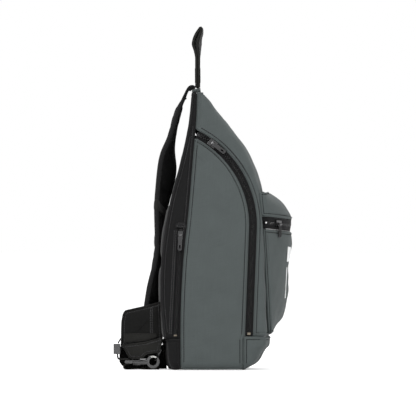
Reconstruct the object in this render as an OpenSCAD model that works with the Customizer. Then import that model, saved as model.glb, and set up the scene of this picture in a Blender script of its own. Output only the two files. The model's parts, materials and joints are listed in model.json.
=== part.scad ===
// Sling bag: a tapered body with a front pocket, three zips, a grab loop on top and one padded
// shoulder strap, whose snap hook lies at the ring on the lower near corner.
// X points to the front of the bag, Y across it and Z up. The base stands on Z = 0.

/* [Bag body] */
// Half of the width of the bag at its base
base_half = 120; // [118:1:124]
// Lean of each side towards the middle, in degrees
side_lean = 10.8; // [10.4:0.1:11]
// Thickness of the lined fabric panels
wall = 3; // [2.6:0.1:3.2]
// Height of the seam above the lower band
boot_top = 48; // [44:1:52]
// Thickness of the foam in the back panel
back_foam_t = 8; // [6:1:9]

/* [Zips] */
// Radius of the curved upper stretch of the main zip
main_zip_r = 148; // [147:0.5:149]
// Width of the gap in the fabric that shows the main zip
main_zip_gap = 11; // [11:0.5:12]
// Width of the gap in the fabric that shows the back zip
back_zip_gap = 8; // [8:0.5:8.5]
// Height of the band of tape that shows on the pocket
pocket_zip_gap = 17; // [15:0.5:18]
// Radius of the pocket zip, seen from above
pocket_zip_r = 91; // [90:0.5:92]
// Fall of the pocket zip towards the front, in degrees
pocket_zip_fall = 6.4; // [5:0.2:7]

/* [Sliders and pulls] */
// Length of a zip slider
slider_l = 12; // [11:0.5:13]
// Length of the pull of the main zip
main_pull_l = 23; // [18:1:26]
// Length of the pull of the back zip
back_pull_l = 23; // [18:1:26]
// Length of the pull of the pocket zip
pocket_pull_l = 19; // [15:1:20]

/* [Strap and loop] */
// Width of the padded strap
strap_w = 65; // [55:1:66]
// Thickness of the padded strap
strap_t = 8; // [7:0.5:8.5]
// Width of the webbing on the hook
webbing_w = 30; // [25:1:30]
// Width of the webbing of the grab loop
loop_w = 25; // [20:1:30]

/* [Hidden] */
$fn = 48;

shell_grey = [0.35, 0.38, 0.37];
gusset_black = [0.16, 0.16, 0.17];
strap_black = [0.09, 0.09, 0.1];
webbing_black = [0.13, 0.13, 0.12];
gunmetal = [0.3, 0.3, 0.32];
lining_grey = [0.45, 0.45, 0.47];

far_out = 420;
side_cos = cos(side_lean);

// Outlines in the X-Z plane, from the top down
front_line = [[-4, 395], [27, 357], [60, 313], [79, 271], [84.5, 248], [88, 206], [91, 150],
    [94.5, boot_top]];
boot_line = [[94.5, boot_top], [87, 29], [76, 11], [58, 0]];
seam_line = [[-9, 392], [-10, 355], [-14, 310], [-21, 226], [-28.5, 153], [-32, 80], [-32, 0]];
rear_line = [[-16, 392], [-20, 350], [-32, 293], [-48, 231], [-58, 165], [-60, 100], [-55, boot_top - 3]];
band_line = [[-55, boot_top - 3], [-53, 18], [-45, 0]];
boot_x = 56;

// Main zip: an arc and a straight run down from it, in the plane of the near side
zip_centre = [-78, 205 / side_cos];
zip_lean = 2.2;
zip_run = 152;
zip_top = 62;
zip_coil_top = 59;
main_slider_at = 52.2;

// Back zip: straight, in the plane of the near side
back_zip_low = [-39.5, 47 / side_cos];
back_zip_high = [-32, 199 / side_cos];
back_zip_l = norm(back_zip_high - back_zip_low);
back_slider_up = back_zip_l - 9;

// Pocket zip: an arc round a nearly upright axis
pocket_centre = [35, 0, 214];
pocket_zip_half = 51;
pocket_slider_at = -38;

// Cross-section of a zip
tape_t = 0.8;
coil_gap = 1.4;
coil_w = 1.6;
coil_t = 1.8;
main_tape_w = 9.5;
stop_l = 3.5;
channel_h = coil_t / 2 + 0.35;
plate_t = 1.1;
slider_w = 10;
back_slider_w = 7;
bar_h = channel_h + plate_t + 2.4;
pull_t = 1.6;
pull_w = 6;

// Strap: centre X, Y, Z and twist of its stations, from the hinge down
strap_path = [[-22.5, 0, 389.5, 0], [-35.5, -1, 366, 0], [-46, -6, 322, 7], [-51.5, -15, 284, 20],
    [-60.8, -30, 227, 12], [-66, -46, 160, 4], [-72.5, -56, 110, 13], [-76.5, -58, 52, 22]];
wing_y = -94.5;
flap_y = -101;
floor_webbing_z = 1;
webbing_x = -121;

// Hook, lying along X
hook_y = -95;
hook_z = 12;
hook_bar_x = -108.6;
claw_x = -71;
claw_r = 9.2;
claw_hole_r = 5.4;
gate_pivot_a = 128;
gate_tip_a = 42;

// Ring on the lower corner
ring_y = -66;
ring_wire = 2;
ring_top = [-59.5, 28];
ring_lean = 32;
ring_half = 13;
ring_drop = 3;
ring_tab_w = 20;

// Grab loop
loop_x = -8.1;
loop_pivot_z = 401.6;
loop_t = 6.6;

// Point at u on the smooth curve through the points p
function on_curve(p, u) =
    let (i = min(floor(u), len(p) - 2))
    let (t = u - i, b = p[i], c = p[i + 1])
    let (a = i > 0 ? p[i - 1] : 2 * b - c)
    let (d = i < len(p) - 2 ? p[i + 2] : 2 * c - b)
    (2 * b + (c - a) * t + (2 * a - 5 * b + 4 * c - d) * t * t + (3 * b - a - 3 * c + d) * t * t * t) / 2;

// The smooth curve through the points p, with n steps between two of them
function curve(p, n = 6) = [for (k = [0:n * (len(p) - 1)]) on_curve(p, k / n)];

function backwards(p) = [for (k = [len(p) - 1:-1:0]) p[k]];

function unit(v) = v / norm(v);

// The points of the line p moved by d to the right of its direction
function beside(p, d) = [for (k = [0:len(p) - 1])
    let (t = unit(p[min(k + 1, len(p) - 1)] - p[max(k - 1, 0)]))
    p[k] + d * [t.y, -t.x]];

// Points of the X-Z plane in the plane of a side, where the second number runs up the slope
function on_side(p) = [for (q = p) [q.x, q.y / side_cos]];

front_curve = curve(front_line);
boot_curve = curve(boot_line);
seam_curve = curve(seam_line);
rear_curve = curve(rear_line);
band_curve = curve(band_line);

// The plane of the near side: X stays, Y runs up the slope and Z points out of the bag
module near_side() {
    translate([0, -base_half, 0]) rotate([90 - side_lean, 0, 0]) children();
}

module far_side() {
    mirror([0, 1, 0]) near_side() children();
}

// The space between the two sides, moved inwards by d
module between_sides(d) {
    h = far_out / side_cos;
    low = base_half - d / side_cos + 10 * tan(side_lean);
    high = low - (h + 10) * tan(side_lean);
    rotate([90, 0, 90]) linear_extrude(far_out, center = true)
        polygon([[-low, -10], [low, -10], [high, h], [-high, h]]);
}

// An X-Z outline drawn across the bag, between the sides moved inwards by d
module across(points, d = wall) {
    intersection() {
        rotate([90, 0, 0]) linear_extrude(2.6 * base_half, center = true) polygon(points);
        between_sides(d);
    }
}

// What the children have between two heights
module between_heights(low, high) {
    intersection() {
        children();
        translate([-far_out / 2, -far_out / 2, low]) cube([far_out, far_out, high - low]);
    }
}

function band(line, t) = concat(line, backwards(beside(line, t)));

function below(line, z) = [for (q = line) if (q.y < z) q];

// The part of the side plane between two heights
module heights(low, high) {
    translate([-far_out / 2, low / side_cos]) square([far_out, (high - low) / side_cos]);
}

// The grey part of a side, from the back seam to the front
module side_outline() {
    polygon(on_side(concat(seam_curve, backwards(boot_curve), backwards(front_curve))));
}

// What lies behind the main zip, up to the radius r of its curve
module behind_zip(r) {
    arc = [for (a = [80:-2:0]) zip_centre + r * [cos(a), sin(a)]];
    turn = zip_centre + r * [cos(zip_lean), -sin(zip_lean)];
    foot = turn - 2 * zip_run * [sin(zip_lean), cos(zip_lean)];
    polygon(concat(arc, [turn, foot, [-far_out, foot.y], [-far_out, far_out], [arc[0].x, far_out]]));
}

module side_piece(r) {
    intersection() {
        side_outline();
        union() {
            intersection() {
                behind_zip(r);
                heights(boot_top, far_out);
            }
            intersection() {
                heights(0, boot_top);
                translate([-far_out, 0]) square([far_out + boot_x, far_out]);
            }
        }
    }
}

module front_piece(r) {
    difference() {
        intersection() {
            side_outline();
            heights(boot_top, far_out);
        }
        behind_zip(r);
    }
}

module boot_piece() {
    intersection() {
        side_outline();
        heights(0, boot_top);
        translate([boot_x, 0]) square(far_out);
    }
}

module gusset_outline() {
    polygon(on_side(concat(rear_curve, band_curve, backwards(seam_curve))));
}

module skin() {
    translate([0, 0, -wall]) linear_extrude(wall) children();
}

// A zip's solid along the main zip: across from a to b, and from c to d out of the side
module along_main_zip(a, b, c, d, top = zip_top, run = zip_run) {
    translate([zip_centre.x, zip_centre.y, 0]) rotate([0, 0, -zip_lean]) {
        rotate_extrude(angle = top + zip_lean, $fn = 180)
            translate([main_zip_r + a, c]) square([b - a, d - c]);
        translate([main_zip_r + a, -run, c]) cube([b - a, run, d - c]);
    }
}

// The frame of the back zip: its foot at the origin and Y up along it
module along_back_zip() {
    way = back_zip_high - back_zip_low;
    near_side() translate([back_zip_low.x, back_zip_low.y, 0])
        rotate([0, 0, atan2(way.y, way.x) - 90]) children();
}

// The frame of the pocket zip: its arc lies round Z at the height 0
module round_pocket() {
    translate(pocket_centre) rotate([0, pocket_zip_fall, 0]) children();
}

module side_panel_near() {
    color(shell_grey) near_side() skin() side_piece(main_zip_r - main_zip_gap / 2);
}

module side_panel_far() {
    color(shell_grey) far_side() skin() side_piece(main_zip_r);
}

module front_panel() {
    color(shell_grey) {
        between_heights(boot_top, far_out) across(band(front_curve, wall));
        near_side() skin() front_piece(main_zip_r + main_zip_gap / 2);
        far_side() skin() front_piece(main_zip_r);
    }
}

module lower_front_panel() {
    color(shell_grey) {
        between_heights(0, boot_top) across(band(boot_curve, wall));
        near_side() skin() boot_piece();
        far_side() skin() boot_piece();
    }
}

module base_panel() {
    low_back = band_line[2].x + wall;
    low_front = boot_line[3].x - wall;
    color(shell_grey) across([[low_back, 0], [low_front, 0], [low_front, wall], [low_back, wall]]);
}

module gusset() {
    skin() intersection() {
        gusset_outline();
        heights(boot_top - 3, far_out);
    }
}

module back_gusset_near() {
    color(gusset_black) difference() {
        near_side() gusset();
        along_back_zip() translate([-back_zip_gap / 2, 0, -2 * wall])
            cube([back_zip_gap, back_zip_l + 1, 3 * wall]);
    }
}

module back_gusset_far() {
    color(gusset_black) far_side() gusset();
}

module back_panel() {
    color(gusset_black) between_heights(boot_top - 3, far_out) across(band(rear_curve, -wall));
}

module lower_back_band() {
    color(gusset_black) {
        between_heights(0, boot_top - 3) across(band(band_curve, -wall));
        for (side = [0, 1]) mirror([0, side, 0]) near_side() skin() intersection() {
            gusset_outline();
            heights(0, boot_top - 3);
        }
    }
}

// Raised edge binding along both rear edges
module back_piping() {
    color(strap_black) for (side = [0, 1]) mirror([0, side, 0])
        near_side() linear_extrude(1.2) polygon(on_side(band(rear_curve, -2.6)));
}

module top_cap() {
    color(shell_grey) across([[-16.5, 392.3], [-3.8, 395.3], [-4.5, 397.5], [-15.5, 397.5]], 0);
}

// Sewn root of the strap, turned over the top seam
module strap_anchor() {
    outline = [[-17, 397.6], [-12, 397.6], [-12, 401], [-15.5, 403], [-19.5, 400.5], [-22.5, 395.8],
        [-18.8, 394.8], [-17, 396]];
    color(strap_black) rotate([90, 0, 0]) linear_extrude(strap_w - 5, center = true) polygon(outline);
}

module back_foam() {
    outer = beside(rear_curve, -wall - 0.3);
    inner = beside(rear_curve, -wall - 0.3 - back_foam_t);
    color(lining_grey) between_heights(boot_top, boot_top + 312)
        across(concat(outer, backwards(inner)), wall + 3);
}

module base_board() {
    x0 = -30;
    x1 = 50;
    low = wall + 0.3;
    color(lining_grey) across([[x0, low], [x1, low], [x1, low + 3], [x0, low + 3]], wall + 4);
}

// A closed bag of thin cloth: the X-Z outline between two lines, with walls of thickness t
module pouch(front, back, low, high, d, t) {
    difference() {
        between_heights(low, high) across(concat(front, backwards(back)), d);
        between_heights(low + t, high - t)
            across(concat(beside(front, t), backwards(beside(back, -t))), d + t);
    }
}

module main_lining() {
    front = concat(below(beside(front_curve, wall + 4), 345), [[77, 28], [62, 6]]);
    color(lining_grey) difference() {
        pouch(front, below(beside(seam_curve, -3), 345), 8, 335, wall + 4.5, 0.8);
        near_side() along_main_zip(-4, 4, -wall - 12, -wall - 1, zip_coil_top);
    }
}

module back_pocket_lining() {
    rear = beside(rear_curve, -wall - back_foam_t - 1.2);
    color(lining_grey) difference() {
        pouch(below(beside(seam_curve, -1), 240), below(rear, 240), boot_top, 222, wall + 4.5, 0.8);
        along_back_zip() translate([-2.5, 4, -wall - 12]) cube([5, back_zip_l - 8, 11]);
    }
}

module pocket_lining() {
    color(lining_grey) difference() {
        translate([97, -56, 70]) cube([4, 112, 112]);
        translate([97.7, -55.3, 70.7]) cube([2.6, 110.6, 112]);
    }
}

// Pocket rows: X and Z at the middle, X and Z at the sides, and half of the width
pocket_side_x = 55.5;
function zip_row(h, r = pocket_zip_r) =
    let (c = cos(pocket_zip_fall), s = sin(pocket_zip_fall))
    [pocket_centre.x + r * c + h * s, pocket_centre.z - r * s + h * c,
     pocket_centre.x + pocket_side_x * c + h * s, pocket_centre.z - pocket_side_x * s + h * c,
     sqrt(r * r - pocket_side_x * pocket_side_x)];
upper_rows = [zip_row(pocket_zip_gap / 2), [121.5, 222, 90.5, 224, 71.5], [114, 234, 89.6, 232, 71],
    [104, 243, 88.4, 240, 70], [95, 249, 87, 247, 68], [89, 251.5, 86.2, 252, 66]];
lower_rows = [zip_row(-pocket_zip_gap / 2), [124, 175, 92.2, 180, 75], [121.7, 150, 93.6, 150, 79],
    [119, 116, 95, 116, 83.5], [117, 92, 95.9, 90, 86.5], [112, 75, 96.4, 73, 88],
    [103, 62, 96.8, 60, 87], [97.5, 51, 97, 51, 85]];

columns = 16;

// A row of points on the arc through its middle and its two sides
function row_arc(row) =
    let (w = row[4], way = [row[0] - row[2], row[1] - row[3]])
    let (s = max(norm(way), 0.3), dir = unit(way), r = (w * w + s * s) / (2 * s), half = asin(w / r))
    [for (k = [0:columns]) let (a = half * (2 * k / columns - 1), m = r * cos(a) - (r - s))
        [row[2] + dir.x * m, r * sin(a), row[3] + dir.y * m]];

function row_grid(rows, n = 3) = [for (row = curve(rows, n)) row_arc(row)];

// The normal of a grid of points at row i and column k, pointing to the front
function grid_normal(g, i, k) =
    let (a = g[min(i + 1, len(g) - 1)][k] - g[max(i - 1, 0)][k])
    let (b = g[i][min(k + 1, len(g[i]) - 1)] - g[i][max(k - 1, 0)])
    let (n = unit(cross(a, b)))
    n.x < 0 ? -n : n;

function moved_grid(g, d, from = 0) = [for (i = [from:len(g) - 1])
    [for (k = [0:len(g[i]) - 1]) g[i][k] + d * grid_normal(g, i, k)]];

function grid_part(g, i0, i1, k0, k1) = [for (i = [i0:i1]) [for (k = [k0:k1]) g[i][k]]];

// A sheet between two grids of the same size
module sheet_between(outer, inner, flip = false) {
    n = len(outer);
    m = len(outer[0]);
    points = concat([for (row = outer) each row], [for (row = inner) each row]);
    function at(i, k) = i * m + k;
    function under(i, k) = n * m + i * m + k;
    quads = concat(
        [for (i = [0:n - 2], k = [0:m - 2]) [at(i, k), at(i, k + 1), at(i + 1, k + 1), at(i + 1, k)]],
        [for (i = [0:n - 2], k = [0:m - 2])
            [under(i, k), under(i + 1, k), under(i + 1, k + 1), under(i, k + 1)]],
        [for (i = [0:n - 2]) [at(i, 0), at(i + 1, 0), under(i + 1, 0), under(i, 0)]],
        [for (i = [0:n - 2]) [at(i + 1, m - 1), at(i, m - 1), under(i, m - 1), under(i + 1, m - 1)]],
        [for (k = [0:m - 2]) [at(0, k + 1), at(0, k), under(0, k), under(0, k + 1)]],
        [for (k = [0:m - 2]) [at(n - 1, k), at(n - 1, k + 1), under(n - 1, k + 1), under(n - 1, k)]]);
    halves = [for (q = quads) each [[q[0], q[1], q[2]], [q[0], q[2], q[3]]]];
    polyhedron(points, flip ? [for (f = halves) [f[2], f[1], f[0]]] : halves);
}

pocket_t = 2.4;

module pocket_upper_panel() {
    grid = row_grid(upper_rows);
    brim = row_arc(zip_row(pocket_zip_gap / 2, pocket_zip_r - pocket_t));
    color(shell_grey) sheet_between(grid, concat([brim], moved_grid(grid, -pocket_t, 1)), true);
}

module pocket_lower_panel() {
    grid = row_grid(lower_rows);
    color(shell_grey) sheet_between(grid, moved_grid(grid, -pocket_t));
}

// Plain light tab on the front of the pocket
module front_patch() {
    grid = row_grid(lower_rows);
    tab = grid_part(moved_grid(grid, 0.9), 3, 11, 5, 7);
    under = grid_part(moved_grid(grid, 0.1), 3, 11, 5, 7);
    color("white") sheet_between(tab, under);
}

module main_zip_tapes() {
    inner = coil_gap / 2 + coil_w;
    color(gusset_black) near_side() for (side = [-1, 1]) {
        a = side > 0 ? inner : -main_tape_w;
        along_main_zip(a, a + main_tape_w - inner, -wall - tape_t, -wall);
    }
}

module main_zip_coils() {
    mid = -wall - tape_t / 2;
    color("black") near_side() for (side = [-1, 1]) {
        a = side > 0 ? coil_gap / 2 : -coil_gap / 2 - coil_w;
        along_main_zip(a, a + coil_w, mid - coil_t / 2, mid + coil_t / 2, zip_coil_top, zip_run - stop_l);
    }
}

module main_zip_stops() {
    mid = -wall - tape_t / 2;
    w = coil_gap / 2 + coil_w;
    color("tan") near_side() translate([zip_centre.x, zip_centre.y, mid]) {
        rotate([0, 0, -zip_lean]) translate([main_zip_r - w, -zip_run, -1.2])
            cube([2 * w, stop_l - 0.05, 2.4]);
        for (side = [-1, 1]) rotate([0, 0, zip_coil_top + 0.1])
            translate([main_zip_r + side * (coil_gap + coil_w) / 2 - coil_w / 2 + 0.1, 0, -1.2])
                cube([coil_w - 0.2, 2.4, 2.4]);
    }
}

module back_zip_tapes() {
    inner = coil_gap / 2 + coil_w;
    w = back_zip_gap / 2 - inner;
    color(gusset_black) along_back_zip() for (a = [inner, -inner - w])
        translate([a, 0, -wall / 2 - tape_t]) cube([w, back_zip_l + 1, tape_t]);
}

module back_zip_coils() {
    color("black") along_back_zip() for (a = [coil_gap / 2, -coil_gap / 2 - coil_w])
        translate([a, stop_l, -wall / 2 - tape_t / 2 - coil_t / 2])
            cube([coil_w, back_zip_l - stop_l - 2.5, coil_t]);
}

module back_zip_stops() {
    mid = -wall / 2 - tape_t / 2;
    w = coil_gap / 2 + coil_w;
    color("tan") along_back_zip() {
        translate([-w, 0, mid - 1.2]) cube([2 * w, stop_l - 0.05, 2.4]);
        for (side = [-1, 1])
            translate([side * (coil_gap + coil_w) / 2 - coil_w / 2, back_zip_l - 2.4, mid - 1.2])
                cube([coil_w, 2.4, 2.4]);
    }
}

// Hood sewn over the upper end of the back zip
module back_zip_garage() {
    color(gusset_black) along_back_zip() translate([0, back_zip_l + 1.2, 0])
        linear_extrude(1) intersection() {
            circle(8.2);
            translate([-10, 0]) square([20, 12]);
        }
}

module round_pocket_zip(z0, z1, r0, r1, half = pocket_zip_half) {
    round_pocket() rotate([0, 0, -half]) rotate_extrude(angle = 2 * half, $fn = 180)
        translate([r0, z0]) square([r1 - r0, z1 - z0]);
}

module pocket_zip_tapes() {
    inner = coil_gap / 2 + coil_w;
    r = pocket_zip_r - 2.2;
    color(gusset_black) {
        round_pocket_zip(inner, pocket_zip_gap / 2, r, r + tape_t);
        round_pocket_zip(-pocket_zip_gap / 2, -inner, r, r + tape_t);
    }
}

module pocket_zip_coils() {
    r = pocket_zip_r - 2.2 + tape_t / 2 - coil_t / 2;
    color("black") for (a = [coil_gap / 2, -coil_gap / 2 - coil_w])
        round_pocket_zip(a, a + coil_w, r, r + coil_t, pocket_zip_half - 2.4);
}

module pocket_zip_stops() {
    r = pocket_zip_r - 2.2 + tape_t / 2;
    w = coil_gap / 2 + coil_w;
    color("tan") round_pocket() for (side = [-1, 1]) rotate([0, 0, side * (pocket_zip_half - 1.3)])
        translate([r - 1.2, -1.6, -w]) cube([2.4, 3.2, 2 * w]);
}

// A slider: X across the zip, Y along it and Z out of it, with the zip's middle at the origin
module slider_shell(w, hanging = false) {
    channel_w = coil_gap / 2 + coil_w + 0.4;
    slot_h = tape_t / 2 + 0.35;
    for (side = [-1, 1]) {
        translate([-w / 2, -slider_l / 2, side > 0 ? channel_h : -channel_h - plate_t])
            cube([w, slider_l, plate_t]);
        for (up = [-1, 1])
            translate([side > 0 ? channel_w : -w / 2, -slider_l / 2, up > 0 ? slot_h : -channel_h])
                cube([w / 2 - channel_w, slider_l, channel_h - slot_h]);
    }
    translate([-0.35, slider_l / 2 - 3, -channel_h]) cube([0.7, 3, 2 * channel_h]);
    rotate([0, 0, hanging ? 90 : 0]) {
        for (side = [-1, 1]) translate([side * 3 - 0.6, -1.3, channel_h + plate_t]) cube([1.2, 2.6, 3.3]);
        translate([-3, 0, bar_h]) rotate([0, 90, 0]) cylinder(h = 6, r = 0.7);
    }
}

// A pull: its eye turns round X at the origin, and its tab lies along -Y
module pull_tab(l) {
    difference() {
        union() {
            rotate([0, 90, 0]) cylinder(h = 4, r = 1.9, center = true);
            translate([-2, -4, -pull_t / 2]) cube([4, 4, pull_t]);
            translate([0, 0, -pull_t / 2]) linear_extrude(pull_t) difference() {
                union() {
                    translate([-pull_w / 2, -l + pull_w / 2]) square([pull_w, l - pull_w / 2 - 3]);
                    translate([0, -l + pull_w / 2]) circle(pull_w / 2);
                }
                translate([-1, -l + 3]) square([2, 5]);
            }
        }
        rotate([0, 90, 0]) cylinder(h = 8, r = 1.1, center = true);
    }
}

module at_main_slider() {
    near_side() translate([zip_centre.x, zip_centre.y, -wall - tape_t / 2]) rotate([0, 0, main_slider_at])
        translate([main_zip_r, 0, 0]) children();
}

module at_back_slider() {
    along_back_zip() translate([0, back_slider_up, -wall / 2 - tape_t / 2]) children();
}

module at_pocket_slider() {
    round_pocket() rotate([0, 0, pocket_slider_at]) translate([pocket_zip_r - 2.2 + tape_t / 2, 0, 0])
        rotate([0, 90, 0]) children();
}

module main_slider() {
    color(gunmetal) at_main_slider() slider_shell(slider_w);
}

module main_pull() {
    color(gunmetal) at_main_slider() translate([0, 0, bar_h]) pull_tab(main_pull_l);
}

module back_slider() {
    color(gunmetal) at_back_slider() slider_shell(back_slider_w);
}

module back_pull() {
    color(gunmetal) at_back_slider() translate([0, 0, bar_h]) pull_tab(back_pull_l);
}

module pocket_slider() {
    color(gunmetal) at_pocket_slider() slider_shell(slider_w, true);
}

module pocket_pull() {
    color(gunmetal) at_pocket_slider() translate([0, 0, bar_h]) rotate([0, 0, 90]) rotate([-6, 0, 0])
        pull_tab(pocket_pull_l);
}

// Grab loop of doubled webbing that opens into an eye
module haul_loop() {
    left = loop_x - loop_t / 2;
    right = loop_x + loop_t / 2;
    eye = curve([[left, 447], [-16, 462], [-10.5, 477], [-3, 487], [-0.8, 479], [-3.4, 463],
        [right, 447]], 8);
    hole = curve([[-8.5, 453], [-12.9, 462], [-8.6, 474], [-4.8, 480], [-4.2, 476], [-6, 464],
        [-7.7, 453]], 8);
    color(webbing_black) rotate([90, 0, 0]) linear_extrude(loop_w, center = true) {
        translate([loop_x, loop_pivot_z]) circle(loop_t / 2);
        translate([left, loop_pivot_z]) square([loop_t, 450.5 - loop_pivot_z]);
        difference() {
            polygon(eye);
            polygon(hole);
        }
    }
}

// Cross-sections of the strap, with the given width and thickness
function strap_section(u, w, t) =
    let (here = on_curve(strap_path, u), step = 0.05, last = len(strap_path) - 1)
    let (ahead = on_curve(strap_path, min(u + step, last)), behind = on_curve(strap_path, max(u - step, 0)))
    let (along = unit([ahead.x - behind.x, ahead.y - behind.y, ahead.z - behind.z]))
    let (flat = [-sin(here[3]), -cos(here[3]), 0], width = unit(flat - (flat * along) * along))
    let (out = cross(along, width), round = min(w, t) * 0.3)
    let (a = w / 2, b = t / 2)
    [for (q = [[a, b - round], [a - round, b], [-a + round, b], [-a, b - round],
            [-a, -b + round], [-a + round, -b], [a - round, -b], [a, -b + round]])
        [here.x, here.y, here.z] + q.x * width + q.y * out];

strap_steps = 5;

module strap_loft(w, t, u0, u1) {
    n = strap_steps * (len(strap_path) - 1);
    rings = [for (k = [0:n]) strap_section(u0 + (u1 - u0) * k / n, w, t)];
    points = [for (ring = rings) each ring];
    walls = [for (i = [0:n - 1], k = [0:7]) let (a = 8 * i + k, b = 8 * i + (k + 1) % 8)
        each [[a, b + 8, b], [a, a + 8, b + 8]]];
    caps = [for (k = [1:6]) each [[0, k, k + 1], [8 * n, 8 * n + k + 1, 8 * n + k]]];
    polyhedron(points, concat(walls, caps));
}

module strap_cover() {
    last = len(strap_path) - 1;
    color(strap_black) difference() {
        strap_loft(strap_w, strap_t, 0, last);
        strap_loft(strap_w - 5, strap_t - 2, 0.15, last - 0.15);
    }
}

module strap_foam() {
    color(lining_grey) strap_loft(strap_w - 5.6, strap_t - 2.6, 0.16, len(strap_path) - 1.16);
}

// A flat piece of the near side of the strap: an X-Z outline with thickness t about the plane y
module flat_piece(points, y, t) {
    translate([0, y + t / 2, 0]) rotate([90, 0, 0]) linear_extrude(t) polygon(points);
}

// An X-Z outline drawn out along Y to the width w, about the plane y
module across_strap(w, y) {
    translate([0, y + w / 2, 0]) rotate([90, 0, 0]) linear_extrude(w) children();
}

module strap_wing() {
    outline = [[-117, 38], [-115.8, 68], [-113.5, 80], [-110.5, 84.5], [-86, 90], [-61.5, 96],
        [-59.5, 46]];
    color(webbing_black) flat_piece(outline, wing_y, 5);
}

module strap_flap() {
    outline = [[-113.8, 35.5], [-82, 39.5], [-64.5, 45], [-64.5, 38], [-76, 26], [-85, 16.5], [-104, 16.5]];
    joining_strip = [[-112, 38.4], [-82, 41], [-66, 46], [-66, 52], [-112, 52]];
    color(webbing_black) {
        flat_piece(outline, flap_y, 3.4);
        flat_piece(joining_strip, -98.2, 2.2);
    }
}

// Webbing from the end of the strap through the adjuster to the hook, and its tail on the floor
module strap_webbing() {
    t = 1.6;
    x = webbing_x - t / 2;
    eye_x = hook_bar_x + 3.3;
    over = hook_z + 2.6;
    under = hook_z - 4.4;
    foot = hook_bar_x - 4.2;
    low = floor_webbing_z;
    color(webbing_black) {
        across_strap(webbing_w, hook_y) polygon([[x, 37.4], [x, over], [eye_x, over], [eye_x, under + t],
            [foot, under + t], [foot, low], [foot + t, low], [foot + t, under], [eye_x + t, under],
            [eye_x + t, over + t], [x + t, over + t], [x + t, 37.4]]);
        across_strap(webbing_w - 11.5, -82.2)
            polygon([[x, 37.5], [x + t, 37.5], [x + 11.5, 50.8], [-93, 50.8], [-93, 52.4],
                [x + 10.6, 52.4]]);
        across_strap(webbing_w - 11.5, -74.2)
            polygon([[foot, low], [-61.5, low], [-61.5, low + t], [foot, low + t]]);
        hull() {
            translate([-118.5, -72, low]) cube([t, t, 32]);
            translate([-62 - t, -46, low]) cube([t, t, 25]);
        }
    }
}

// Slide adjuster: two outer bars on one side of the webbing and the middle bar on the other
module adjuster() {
    z = 30;
    half = webbing_w / 2 + 0.8;
    rail = 3;
    color(gunmetal) translate([webbing_x, hook_y, z]) {
        for (side = [-1, 1]) translate([-5.5, side > 0 ? half : -half - rail, -7]) cube([9.4, rail, 14]);
        for (bar = [[-2.5, 5.6], [2.5, 0], [-2.5, -5.6]])
            translate([bar.x, half, bar.y]) rotate([90, 0, 0]) cylinder(h = 2 * half, r = 1.4);
    }
}

// Eye for the webbing, with the post that the hook turns on
module hook_base() {
    bar_x = hook_bar_x;
    half = webbing_w / 2 + 0.8;
    color(gunmetal) {
        translate([bar_x, hook_y + half + 2.6, hook_z]) rotate([90, 0, 0])
            cylinder(h = 2 * half + 5.2, r = 2.2);
        for (side = [-1, 1]) translate([bar_x, hook_y + side * (half + 1.3) - 1.3, hook_z - 2.2])
            cube([8.6, 2.6, 4.4]);
        translate([bar_x + 6, hook_y - half - 2.6, hook_z - 2.2]) cube([2.6, 2 * half + 5.2, 4.4]);
        translate([bar_x + 8.5, hook_y, hook_z]) rotate([0, 90, 0]) cylinder(h = 9, r = 1.6);
        translate([bar_x + 14.5, hook_y, hook_z]) rotate([0, 90, 0]) cylinder(h = 3, r = 2.8);
    }
}

// How far the gate reaches from its pivot
gate_r = (claw_r + claw_hole_r) / 2;
gate_half = 1.3;
gate_pivot = gate_r * [cos(gate_pivot_a), sin(gate_pivot_a)];
gate_end_a = gate_tip_a + 8;
gate_reach = norm((gate_r + gate_half) * [cos(gate_end_a), sin(gate_end_a)] - gate_pivot);

// The outline of the claw, between the angles where it isn't open, with a nose that the gate passes
module claw_outline() {
    difference() {
        circle(claw_r);
        circle(claw_hole_r);
        intersection() {
            translate(gate_pivot) circle(gate_reach + 0.4, $fn = 96);
            translate([2, -2]) square(20);
        }
        polygon([[0, 0], 20 * [cos(gate_tip_a), sin(gate_tip_a)], [0, 30],
            20 * [cos(gate_pivot_a - 14), sin(gate_pivot_a - 14)]]);
    }
}

module at_claw() {
    translate([claw_x, hook_y, hook_z]) rotate([90, 0, 0]) children();
}

module hook_body() {
    sleeve_x = -99;
    color(gunmetal) difference() {
        union() {
            translate([sleeve_x, hook_y, hook_z]) rotate([0, 90, 0]) cylinder(h = 10, r = 5);
            translate([sleeve_x + 10, hook_y, hook_z]) rotate([0, 90, 0]) cylinder(h = 11, r = 4);
            at_claw() linear_extrude(6, center = true) claw_outline();
        }
        translate([sleeve_x - 1, hook_y, hook_z]) rotate([0, 90, 0]) cylinder(h = 6, r = 2);
        translate([sleeve_x + 4.6, hook_y, hook_z]) rotate([0, 90, 0]) cylinder(h = 4.6, r = 3.2);
        at_claw() translate([gate_pivot.x, gate_pivot.y, 0]) cylinder(h = 3.6, r = 3.2, center = true);
    }
    color(gunmetal) at_claw() translate([gate_pivot.x, gate_pivot.y, 0])
        cylinder(h = 6, r = 0.8, center = true);
}

module hook_gate() {
    color("silver") at_claw() difference() {
        linear_extrude(3, center = true) union() {
            translate(gate_pivot) circle(2.2);
            intersection() {
                difference() {
                    circle(gate_r + gate_half);
                    circle(gate_r - gate_half);
                }
                polygon([[0, 0], 20 * [cos(gate_end_a), sin(gate_end_a)], [0, 30],
                    20 * [cos(gate_pivot_a), sin(gate_pivot_a)]]);
            }
        }
        translate([gate_pivot.x, gate_pivot.y, 0]) cylinder(h = 8, r = 1.15, center = true);
    }
}

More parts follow.
